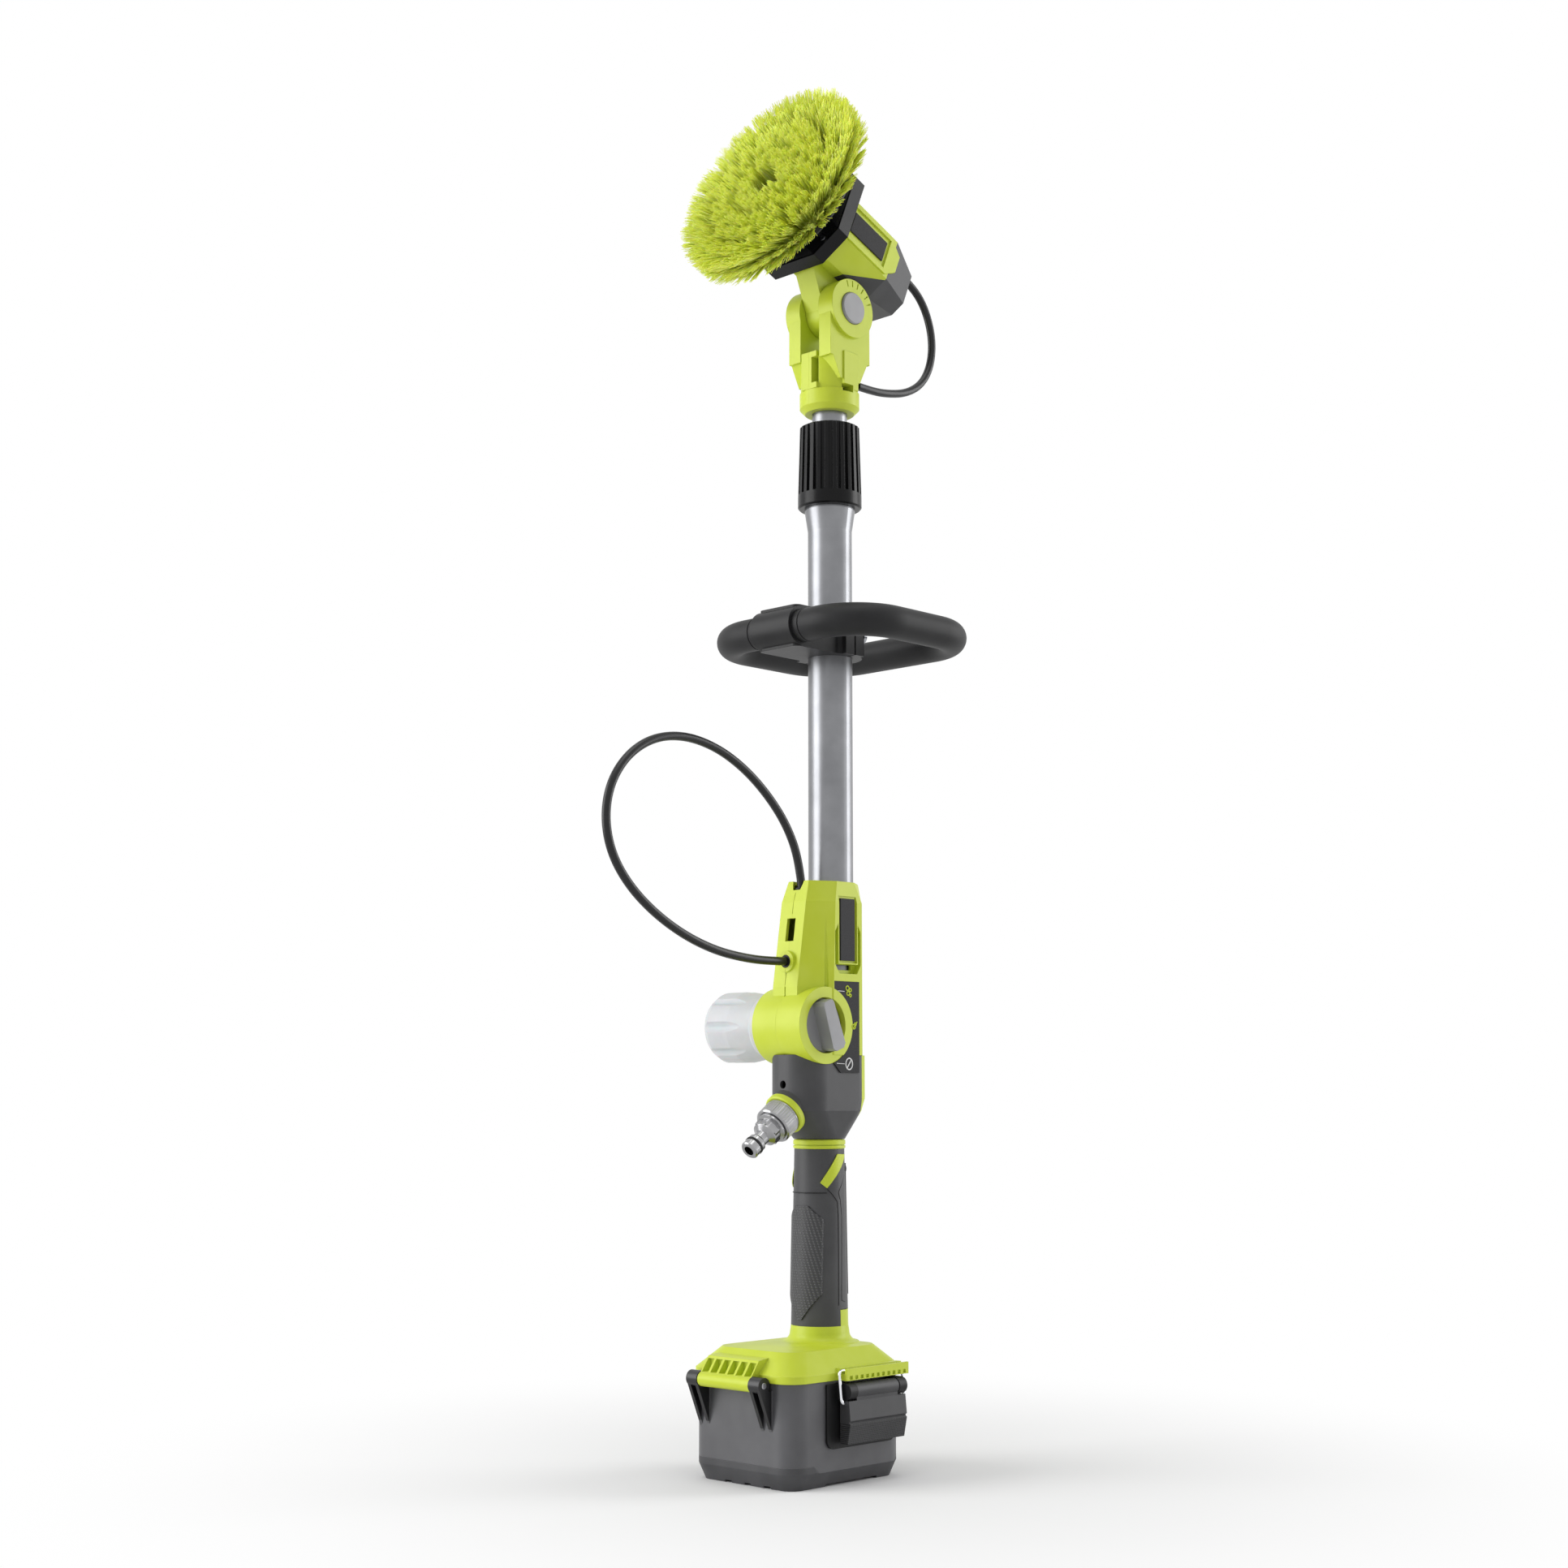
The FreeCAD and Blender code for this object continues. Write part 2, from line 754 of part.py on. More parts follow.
def build_boot():
    """The bevelled rubber boot, drawn up between its feet and notched at the front."""
    inset = s.boot_bevel_inset
    corner = s.box_corner - inset
    foot = smooth_block(HALF_BOX - inset, s.box_front - inset, s.box_back - inset, corner, corner, 0)
    rim = smooth_block(HALF_BOX, s.box_front, s.box_back, s.box_corner, s.box_corner, s.boot_bevel_height)
    block = Part.makeLoft([foot, rim], True, True).fuse(box_block(0, s.boot_bevel_height, s.boot_height))
    block = block.cut(box_block(s.boot_wall, s.boot_floor, s.boot_height + s.cut_overrun))
    block = block.cut(boot_dip())
    block = block.cut(box(-HALF_BOX, HALF_BOX, -s.foot_gap_front, -s.foot_gap_back, 0, s.foot_gap_depth))
    for step in (-1, 0, 1):
        x = step * s.foot_notch_pitch
        notch = box(x, x + s.foot_notch_width, -s.box_front, -s.box_front + s.foot_notch_reach, 0, s.foot_notch_depth)
        block = block.cut(notch)
    solid_piece("box_boot", block.removeSplitter())


def hinge_lugs():
    """The tub's two hinge ears with the fins below them."""
    y, z = -s.box_front - s.hinge_reach, s.tub_height - s.hinge_drop
    made = None
    for side in (-1, 1):
        inner = s.hinge_centre + side * (s.hinge_barrel_length / 2 + s.seat_gap)
        outer = inner + side * s.hinge_lug_width
        x = min(inner, outer)
        lug = rod(s.hinge_lug_radius, s.hinge_lug_width, (x, y, z), AXIS_X)
        web_top = z - s.hinge_lug_radius + s.hinge_lug_radius / 3
        lug = lug.fuse(box(x, x + s.hinge_lug_width, y, -s.box_front + s.tub_liner, z - s.hinge_lug_radius, web_top))
        for fin_x in (x, x + s.hinge_lug_width - s.hinge_fin_width):
            outline = [
                (fin_x, y - s.hinge_lug_radius, z),
                (fin_x, -s.box_front + s.tub_liner, z - s.hinge_fin_height),
                (fin_x, -s.box_front + s.tub_liner, z - s.hinge_lug_radius),
                (fin_x, y, z - s.hinge_lug_radius / 2),
            ]
            lug = lug.fuse(prism(outline, s.hinge_fin_width, AXIS_X))
        made = lug if made is None else made.fuse(lug)
    return made.cut(rod(s.hinge_pin_radius, s.box_width, (-HALF_BOX, y, z), AXIS_X))


def build_tub():
    walls = box_block(0, s.boot_height, s.tub_height)
    liner = box_block(s.boot_wall, s.boot_floor, s.boot_height)
    tub = walls.fuse(liner).fuse(box_block(0, s.boot_height - s.boot_dip, s.boot_height).common(boot_dip()))
    tub = tub.cut(box_block(TUB_INNER, TUB_FLOOR, s.tub_height + s.cut_overrun))
    tub = tub.fuse(hinge_lugs())
    solid_piece("battery_tub", tub.removeSplitter())


HANDLE_Y = -s.handle_offset
HANDLE_SLOPE = (s.handle_bottom_radius - s.handle_top_radius) / (s.handle_top - s.handle_bottom)


def handle_cone(proud, z0, z1):
    """The handle's tapered outside, drawn out by an amount, between two heights."""
    low = s.handle_bottom_radius - (z0 - s.handle_bottom) * HANDLE_SLOPE + proud
    high = s.handle_bottom_radius - (z1 - s.handle_bottom) * HANDLE_SLOPE + proud
    return Part.makeCone(low, high, z1 - z0, V(0, HANDLE_Y, z0))


BACK_SHELL_BOTTOM = s.handle_bottom + s.handle_wall * 4
LID_BOTTOM = s.tub_height + s.seat_gap
LID_RIM = LID_BOTTOM + s.lid_rim_height
LID_SLOPE = LID_RIM + s.lid_slope_height
LID_TOP = LID_SLOPE + s.lid_crown_height
PANEL_TOP = LID_SLOPE - s.hinge_panel_drop
HINGE_Y = -s.box_front - s.hinge_reach
HINGE_Z = s.tub_height - s.hinge_drop


def lid_section(inset, z):
    half = HALF_BOX + s.lid_overhang - inset
    front = s.box_front + s.lid_overhang - inset
    back = s.box_back + s.lid_overhang - inset
    corner = min(s.box_corner, half - s.seat_gap)
    return smooth_block(half, front, back, corner, corner, z)


def lid_band(inset, low, inset_above, high):
    """The lid's plan lofted between two heights, drawn in by an inset at each."""
    return Part.makeLoft([lid_section(inset, low), lid_section(inset_above, high)], True, True)


def hinge_panel():
    """The sloping ribbed panel that carries the lid's hinge barrel."""
    half = s.hinge_barrel_length / 2
    start = s.hinge_centre - half
    outline = [
        (start, -s.box_front + s.lid_slope_inset, PANEL_TOP),
        (start, -s.box_front - s.lid_overhang, PANEL_TOP - s.lid_overhang),
        (start, HINGE_Y - s.hinge_barrel_radius, HINGE_Z),
        (start, -s.box_front, LID_BOTTOM),
        (start, -s.box_front + s.lid_slope_inset, LID_BOTTOM),
    ]
    panel = prism(outline, s.hinge_barrel_length, AXIS_X)
    count = int(s.hinge_slot_count)
    pitch = s.hinge_barrel_length / count
    for index in range(count):
        x = start + pitch * index + s.hinge_rib_width / 2
        slot = box(x, x + pitch - s.hinge_rib_width, HINGE_Y - s.hinge_barrel_radius * 2, -s.box_front - s.hinge_slot_floor,
                   HINGE_Z + s.hinge_barrel_radius, PANEL_TOP - s.lid_overhang * 2)
        panel = panel.cut(slot)
    return panel


def collar_flare():
    """The round collar under the handle, with a hollow fillet down to the crown."""
    waist, outer = s.flare_waist, s.flare_waist + s.flare_fillet
    low, high = LID_TOP, LID_TOP + s.flare_fillet
    slant = s.flare_fillet * (1 - math.sqrt(2) / 2)
    arc = Part.Arc(V(outer, 0, low), V(waist + slant, 0, low + slant), V(waist, 0, high))
    corners = [
        V(waist, 0, high),
        V(s.handle_bottom_radius, 0, s.handle_bottom),
        V(0, 0, s.handle_bottom),
        V(0, 0, LID_SLOPE),
        V(outer + s.lid_crown_height, 0, LID_SLOPE),
        V(outer, 0, low),
    ]
    edges = [arc.toShape()]
    for start, end in zip(corners, corners[1:]):
        edges.append(Part.LineSegment(start, end).toShape())
    turned = Part.Face(Part.Wire(edges)).revolve(V(0, 0, 0), AXIS_Z, 360)
    turned.translate(V(0, HANDLE_Y, 0))
    return turned


def latch_lip():
    """The lip that the bail hooks over: a front wall, a groove behind it and teeth below."""
    back, face = HALF_BOX + s.lid_overhang - s.lid_wall, HALF_BOX + s.lid_overhang + s.lip_depth
    front, end = s.lip_centre - s.lip_width / 2, s.lip_centre + s.lip_width / 2
    top = LID_BOTTOM + s.lip_height
    inner = face - s.lip_front_wall
    lip = box(back, face, front, end, LID_BOTTOM, top)
    lip = lip.cut(box(inner - s.lip_groove_width, inner, front, end, top - s.lip_groove_depth, top))
    leg = s.latch_centre + s.bail_spread - s.bail_wire
    lip = lip.cut(box(inner - s.lip_groove_width, inner, leg, end, LID_BOTTOM, top))
    for index in range(int(s.lip_tooth_count)):
        y = s.lip_centre + s.lip_tooth_pitch * (index - (s.lip_tooth_count - 1) / 2) - s.lip_tooth_width / 2
        low = LID_BOTTOM + s.lip_tooth_depth / 2
        lip = lip.cut(box(face - s.lip_tooth_depth, face, y, y + s.lip_tooth_width, low, low + s.lip_tooth_height))
    return lip


def build_lid():
    wall = s.lid_wall
    lid = lid_band(0, LID_BOTTOM, 0, LID_RIM).fuse(lid_band(0, LID_RIM, s.lid_slope_inset, LID_SLOPE))
    lid = lid.fuse(lid_band(s.lid_slope_inset, LID_SLOPE, s.lid_slope_inset + s.lid_crown_inset, LID_TOP))
    hollow = lid_band(wall, LID_BOTTOM, wall, LID_RIM)
    roof = lid_band(wall, LID_RIM, s.lid_slope_inset + wall, LID_SLOPE - wall)
    lid = lid.fuse(collar_flare()).fuse(hinge_panel()).cut(hollow).cut(roof)
    start = s.hinge_centre - s.hinge_barrel_length / 2
    lid = lid.fuse(rod(s.hinge_barrel_radius, s.hinge_barrel_length, (start, HINGE_Y, HINGE_Z), AXIS_X))
    lid = lid.cut(rod(s.hinge_pin_radius + s.running_gap, s.box_width, (-HALF_BOX, HINGE_Y, HINGE_Z), AXIS_X))
    neck = handle_cone(0, s.handle_bottom, BACK_SHELL_BOTTOM - s.seat_gap)
    wide = s.box_width
    lid = lid.fuse(neck.common(box(-wide, wide, HANDLE_Y + s.seat_gap / 2, wide, s.handle_bottom, BACK_SHELL_BOTTOM)))
    bore = s.handle_bottom_radius - s.handle_wall * 2
    lid = lid.cut(rod(bore, s.box_width, (0, HANDLE_Y, LID_SLOPE - wall * 2)))
    solid_piece("box_lid", lid.fuse(latch_lip()).removeSplitter())
    inset = wall + s.seat_gap
    rim = LID_BOTTOM + s.gasket_height
    outer_ring = lid_band(inset, LID_BOTTOM, inset, rim)
    inner_ring = lid_band(inset + s.gasket_width, LID_BOTTOM, inset + s.gasket_width, rim)
    solid_piece("lid_gasket", outer_ring.cut(inner_ring))


build_boot()
build_tub()
build_lid()


# Hinge pin and latch of the battery box

def build_hinge_pin():
    length = s.hinge_barrel_length + (s.hinge_lug_width + s.seat_gap) * 2
    pin = padded("hinge_pin", length, circles=[(0, 0, s.hinge_pin_radius)])
    place(pin, (s.hinge_centre - length / 2, HINGE_Y, HINGE_Z), FACING_RIGHT)


LATCH_X = HALF_BOX + s.latch_axle_out
LATCH_LEFT = s.latch_centre - s.latch_width / 2
LATCH_RIGHT = s.latch_centre + s.latch_width / 2
BAIL_Z = s.latch_axle_height - s.bail_pivot_drop


def build_latch_base():
    """The black plate on the box's side with two hubs that carry the lever's axle."""
    front, back = s.latch_centre - s.latch_base_front, s.latch_centre + s.latch_base_back
    plate = box(HALF_BOX, HALF_BOX + s.latch_base_depth, front, back, s.latch_base_bottom, s.latch_base_top)
    corners = [edge for edge in plate.Edges if abs(edge.tangentAt(0).x) > abs(edge.tangentAt(0).z + edge.tangentAt(0).y)]
    plate = plate.makeFillet(s.latch_base_corner, [edge for edge in corners if edge.BoundBox.ZMax < s.latch_axle_height])
    low, high = s.latch_axle_height - s.latch_block_radius, s.latch_axle_height + s.latch_block_radius
    for y in (LATCH_LEFT, LATCH_RIGHT - s.latch_block_width):
        hub = rod(s.latch_block_radius, s.latch_block_width, (LATCH_X, y, s.latch_axle_height), AXIS_Y)
        plate = plate.fuse(hub).fuse(box(HALF_BOX, LATCH_X, y, y + s.latch_block_width, low, high))
    axle = rod(s.latch_axle_radius, s.latch_width, (LATCH_X, LATCH_LEFT, s.latch_axle_height), AXIS_Y)
    solid_piece("latch_base", plate.fuse(axle).removeSplitter())


def build_latch_lever():
    """The lever's thick plate, with a barrel that turns on the axle between the hubs."""
    top = s.latch_axle_height
    inner = HALF_BOX + s.latch_base_depth + s.seat_gap
    outer = LATCH_X + s.lever_thickness
    bottom = top - s.lever_length
    grip_top = bottom + s.lever_grip_height
    plate_top = top - s.latch_block_radius - s.seat_gap
    step = s.lever_grip_step
    outline = [
        (inner + step, LATCH_LEFT, plate_top),
        (inner + step, LATCH_LEFT, bottom + step),
        (inner + step * 2, LATCH_LEFT, bottom),
        (outer - step, LATCH_LEFT, bottom),
        (outer + step, LATCH_LEFT, grip_top),
        (outer, LATCH_LEFT, grip_top + step),
        (outer + step, LATCH_LEFT, grip_top + step * 2),
        (outer, LATCH_LEFT, plate_top),
    ]
    lever = prism(outline, s.latch_width, AXIS_Y)
    left, right = LATCH_LEFT + s.latch_block_width + s.seat_gap, LATCH_RIGHT - s.latch_block_width - s.seat_gap
    lever = lever.fuse(box(LATCH_X - s.lever_barrel_radius, outer, left, right, plate_top - step, top))
    lever = lever.fuse(rod(s.lever_barrel_radius, right - left, (LATCH_X, left, top), AXIS_Y))
    axle = rod(s.latch_axle_radius + s.running_gap, s.latch_width, (LATCH_X, LATCH_LEFT, top), AXIS_Y)
    lever = lever.cut(axle)
    depth = s.latch_block_width
    for y in (LATCH_LEFT - s.cut_overrun, LATCH_RIGHT - depth):
        lever = lever.cut(rod(s.bail_wire / 2 + s.running_gap, depth + s.cut_overrun, (LATCH_X, y, BAIL_Z), AXIS_Y))
    solid_piece("latch_lever", lever.removeSplitter())


def build_latch_bail():
    """The bent wire whose top bar lies in the groove of the lid's lip."""
    end = s.latch_width / 2 - s.latch_block_width / 2
    top = LID_BOTTOM + s.lip_height - s.lip_groove_depth + s.seat_gap + s.bail_wire / 2
    y = s.latch_centre
    bar_x = LATCH_X - s.bail_lean
    route = [
        (LATCH_X, y - end, BAIL_Z),
        (LATCH_X, y - s.bail_spread, BAIL_Z),
        (bar_x, y - s.bail_spread, top),
        (bar_x, y + s.bail_spread, top),
        (LATCH_X, y + s.bail_spread, BAIL_Z),
        (LATCH_X, y + end, BAIL_Z),
    ]
    solid_piece("latch_bail", bent_wire(route, s.bail_wire / 2, s.bail_wire * 1.25))


def bent_wire(points, radius, bend):
    """A stiff wire on straight runs joined by arcs of one bend radius."""
    corners = [V(*point) for point in points]
    edges = []
    start = corners[0]
    for before, corner, after in zip(corners, corners[1:], corners[2:]):
        run_in, run_out = V(corner - before).normalize(), V(after - corner).normalize()
        turn = run_in.getAngle(run_out)
        trim = bend * math.tan(turn / 2)
        inward, outward = corner - run_in * trim, corner + run_out * trim
        middle = V(run_out - run_in).normalize()
        crest = corner + middle * (bend / math.cos(turn / 2) - bend)
        edges.append(Part.LineSegment(start, inward).toShape())
        edges.append(Part.Arc(inward, crest, outward).toShape())
        start = outward
    edges.append(Part.LineSegment(start, corners[-1]).toShape())
    section = Part.Wire(Part.Circle(corners[0], corners[1] - corners[0], radius).toShape())
    return Part.Wire(edges).makePipeShell([section], True, False)


# Battery pack and its terminal block under the lid

PACK_TOP = s.tub_height - s.lid_wall * 2
PACK_FRONT = s.pack_back - s.pack_length


def build_battery():
    half = s.pack_width / 2
    pack = rounded_block(-half, half, PACK_FRONT, s.pack_back, TUB_FLOOR, PACK_TOP - s.seat_gap, s.pack_corner)
    rims = [edge for edge in pack.Edges if edge.BoundBox.ZMax < TUB_FLOOR + s.seat_gap]
    pack = pack.makeChamfer(s.pack_corner / 3, rims)
    solid_piece("battery_pack", pack)
    half = s.terminal_width / 2
    middle = (PACK_FRONT + s.pack_back) / 2
    solid_piece("terminal_block", rounded_block(-half, half, middle - s.terminal_length / 2, middle + s.terminal_length / 2,
                                                PACK_TOP, LID_SLOPE - s.lid_wall, s.pack_corner / 2))


# Handle: front and back shells, grip pad, ring, trigger with its switch and spring

TRIGGER_PIVOT_Z = s.trigger_top - s.trigger_pin_radius * 2
TRIGGER_PIVOT_Y = HANDLE_Y + s.handle_top_radius - s.handle_wall * 2


def build_handle():
    wide = s.box_width
    tube = handle_cone(0, s.handle_bottom, s.handle_top)
    tube = tube.cut(handle_cone(-s.handle_wall, s.handle_bottom, s.handle_top))
    front_half = box(-wide, wide, -wide, HANDLE_Y, s.handle_bottom, s.handle_top)
    front_low = box(-wide, wide, -wide, HANDLE_Y, s.handle_bottom, BACK_SHELL_BOTTOM)
    front = tube.common(front_half.fuse(front_low))
    solid_piece("handle_front_shell", front.removeSplitter())
    back_half = box(-wide, wide, HANDLE_Y, wide, BACK_SHELL_BOTTOM, s.handle_top)
    half = s.trigger_half_width + s.trigger_side_gap
    opening = box(-half, half, HANDLE_Y + s.handle_wall, wide, s.trigger_bottom - s.trigger_side_gap,
                  s.trigger_top + s.trigger_side_gap)
    back = tube.common(back_half).cut(opening)
    for side in (-1, 1):
        ear_x = side * half if side > 0 else -half - s.handle_wall
        ear = box(ear_x, ear_x + s.handle_wall, TRIGGER_PIVOT_Y - s.trigger_pin_radius * 2, TRIGGER_PIVOT_Y + s.trigger_pin_radius * 2,
                  TRIGGER_PIVOT_Z - s.trigger_pin_radius * 2, TRIGGER_PIVOT_Z + s.trigger_pin_radius * 2)
        back = back.fuse(ear.common(handle_cone(-s.seat_gap, s.trigger_bottom, s.handle_top)))
    pin = rod(s.trigger_pin_radius + s.running_gap, wide, (-HALF_BOX, TRIGGER_PIVOT_Y, TRIGGER_PIVOT_Z), AXIS_X)
    back = back.cut(pin)
    solid_piece("handle_back_shell", back.removeSplitter())


def build_grip_pad():
    z0, z1 = s.grip_pad_bottom, s.grip_pad_bottom + s.grip_pad_height
    half = s.handle_top_radius - s.handle_wall
    cut = s.grip_pad_height / 9
    skin = handle_cone(s.grip_pad_depth, z0, z1).cut(handle_cone(0, z0, z1))
    outline = [
        (-half, HANDLE_Y, z0 + cut * 2),
        (-half, HANDLE_Y, z1 - cut),
        (-half + cut, HANDLE_Y, z1),
        (half - cut, HANDLE_Y, z1),
        (half, HANDLE_Y, z1 - cut),
        (half, HANDLE_Y, z0 + cut * 2),
        (half - cut * 1.5, HANDLE_Y, z0),
        (cut * 1.5 - half, HANDLE_Y, z0),
    ]
    solid_piece("grip_pad", skin.common(prism(outline, -HALF_BOX, AXIS_Y)))


def build_handle_ring():
    outer = s.handle_top_radius + s.handle_ring_groove
    inner = s.handle_top_radius - s.handle_wall
    groove = s.handle_ring_groove
    low = s.handle_ring_height / 3
    outline = [
        (inner, 0), (outer - groove, 0), (outer, groove), (outer, low), (outer - groove, low),
        (outer - groove, low + groove), (outer, low + groove), (outer, s.handle_ring_height - groove),
        (outer - groove, s.handle_ring_height), (inner, s.handle_ring_height),
    ]
    place(turned("handle_ring", outline), (0, HANDLE_Y, s.handle_top))


def build_trigger():
    half = s.trigger_half_width
    skin = handle_cone(s.trigger_proud, s.trigger_bottom, s.trigger_top)
    skin = skin.cut(handle_cone(-s.trigger_wall, s.trigger_bottom, s.trigger_top))
    outline = [
        (-half, HANDLE_Y, s.trigger_bottom),
        (half, HANDLE_Y, s.trigger_bottom),
        (half, HANDLE_Y, s.trigger_top),
        (-half, HANDLE_Y, s.trigger_top),
    ]
    paddle = skin.common(prism(outline, HALF_BOX, AXIS_Y))
    slant = [
        (-half, HANDLE_Y + s.handle_top_radius, s.trigger_top),
        (-half, HANDLE_Y + s.handle_top_radius + s.trigger_proud * 2, s.trigger_top),
        (-half, HANDLE_Y + s.handle_top_radius + s.trigger_proud * 2, s.trigger_top - s.trigger_proud * 6),
    ]
    paddle = paddle.cut(prism(slant, half * 2, AXIS_X))
    hub = rod(s.trigger_pin_radius * 2, half * 2, (-half, TRIGGER_PIVOT_Y, TRIGGER_PIVOT_Z), AXIS_X)
    web = box(-half, half, TRIGGER_PIVOT_Y, TRIGGER_PIVOT_Y + s.handle_wall, TRIGGER_PIVOT_Z - s.trigger_pin_radius * 2,
              TRIGGER_PIVOT_Z)
    reach = half + s.trigger_side_gap + s.handle_wall
    pin = rod(s.trigger_pin_radius, reach * 2, (-reach, TRIGGER_PIVOT_Y, TRIGGER_PIVOT_Z), AXIS_X)
    pin = pin.common(handle_cone(-s.seat_gap, s.trigger_bottom, s.handle_top))
    solid_piece("trigger", paddle.fuse(hub).fuse(web).fuse(pin).removeSplitter())


SWITCH_BACK = HANDLE_Y + s.spring_wall
SWITCH_BOTTOM = s.trigger_bottom + s.spring_radius


def build_switch():
    half = s.switch_width / 2
    front = HANDLE_Y - s.handle_bottom_radius + s.handle_wall + s.spring_radius
    block = box(-half, half, front, SWITCH_BACK, SWITCH_BOTTOM, SWITCH_BOTTOM + s.switch_height)
    nub = rod(s.trigger_pin_radius, s.spring_radius, (0, SWITCH_BACK, SWITCH_BOTTOM + s.switch_height - s.spring_radius * 2), AXIS_Y)
    foot = box(-half / 2, half / 2, front - s.handle_wall, front, SWITCH_BOTTOM, SWITCH_BOTTOM + s.switch_height)
    foot = foot.common(handle_cone(-s.handle_wall, s.handle_bottom, s.handle_top))
    solid_piece("trigger_switch", block.fuse(nub).fuse(foot).removeSplitter())
    z = SWITCH_BOTTOM + s.spring_radius * 2
    paddle_back = HANDLE_Y + s.handle_bottom_radius - (z - s.handle_bottom) * HANDLE_SLOPE - s.trigger_wall
    reach = paddle_back - SWITCH_BACK - s.seat_gap
    spring = padded("trigger_spring", reach, circles=[(0, 0, s.spring_radius), (0, 0, s.spring_radius - s.spring_wall)])
    place(spring, (0, SWITCH_BACK, z), FreeCAD.Rotation(AXIS_X, -90))


build_hinge_pin()
build_latch_base()
build_latch_lever()
build_latch_bail()
build_battery()
build_handle()
build_grip_pad()
build_handle_ring()
build_trigger()
build_switch()


# Housing: two lime halves, the grey lower cover and the plates

def upper_sections(inset, top_drop):
    """Eight-sided sections of the housing from the parting line up to its top."""
    half, flat = s.housing_half_width - inset, s.housing_front_flat - inset / 2
    front, back = s.housing_front - inset, s.housing_back - inset
    side_front, side_back = s.housing_side_front - inset / 2, s.housing_side_back - inset / 2
    top_front = s.housing_front_top - inset
    shoulder_share = (s.housing_shoulder - s.housing_front_knee) / (s.housing_top - s.housing_front_knee)
    shoulder_front = front - (front - top_front) * shoulder_share * 0.8
    shrink = s.housing_wall * 1.5
    return [
        eight_corners(half, front, back, flat, side_front, side_back, s.housing_parting - inset),
        eight_corners(half, front, back, flat, side_front, side_back, s.housing_front_knee),
        eight_corners(half, shoulder_front, back, flat, side_front - shrink / 2, side_back, s.housing_shoulder),
        eight_corners(half - shrink, top_front, back - shrink / 2, flat - shrink / 2, side_front - shrink * 2,
                      side_back - shrink, s.housing_top - top_drop),
    ]


def lower_wire(inset, back, z):
    """The rounded section behind and around the water inlet."""
    return smooth_block(s.housing_half_width - s.seat_gap * 3 - inset, s.lower_column_offset + s.lower_column_radius - inset,
                        back - inset, s.lower_column_radius - s.seat_gap - inset, s.lower_back_radius - inset, z)


def lower_form(inset):
    """The whole lower part, from the handle ring up to the parting line."""
    neck_radius = s.handle_top_radius + s.seat_gap - inset
    corner = neck_radius - s.seat_gap
    neck = smooth_block(neck_radius, neck_radius + s.handle_offset, neck_radius - s.handle_offset, corner, corner,
                        s.housing_bottom)
    sections = [
        neck,
        lower_wire(inset, s.lower_waist_back, s.lower_waist),
        lower_wire(inset, s.housing_back, s.lower_hip),
        lower_wire(inset, s.housing_back, s.housing_parting),
    ]
    form = None
    for below, above in zip(sections, sections[1:]):
        band = Part.makeLoft([below, above], True, True)
        form = band if form is None else form.fuse(band)
    return form


def inlet_rod(radius, start, end):
    """A rod along the inlet's axis, measured from the inlet ring's seat."""
    turn = FreeCAD.Placement(V(0, -s.inlet_reach, s.inlet_height), INLET_TURN)
    bar = Part.makeCylinder(radius, end - start, V(0, 0, start))
    bar.Placement = turn
    return bar


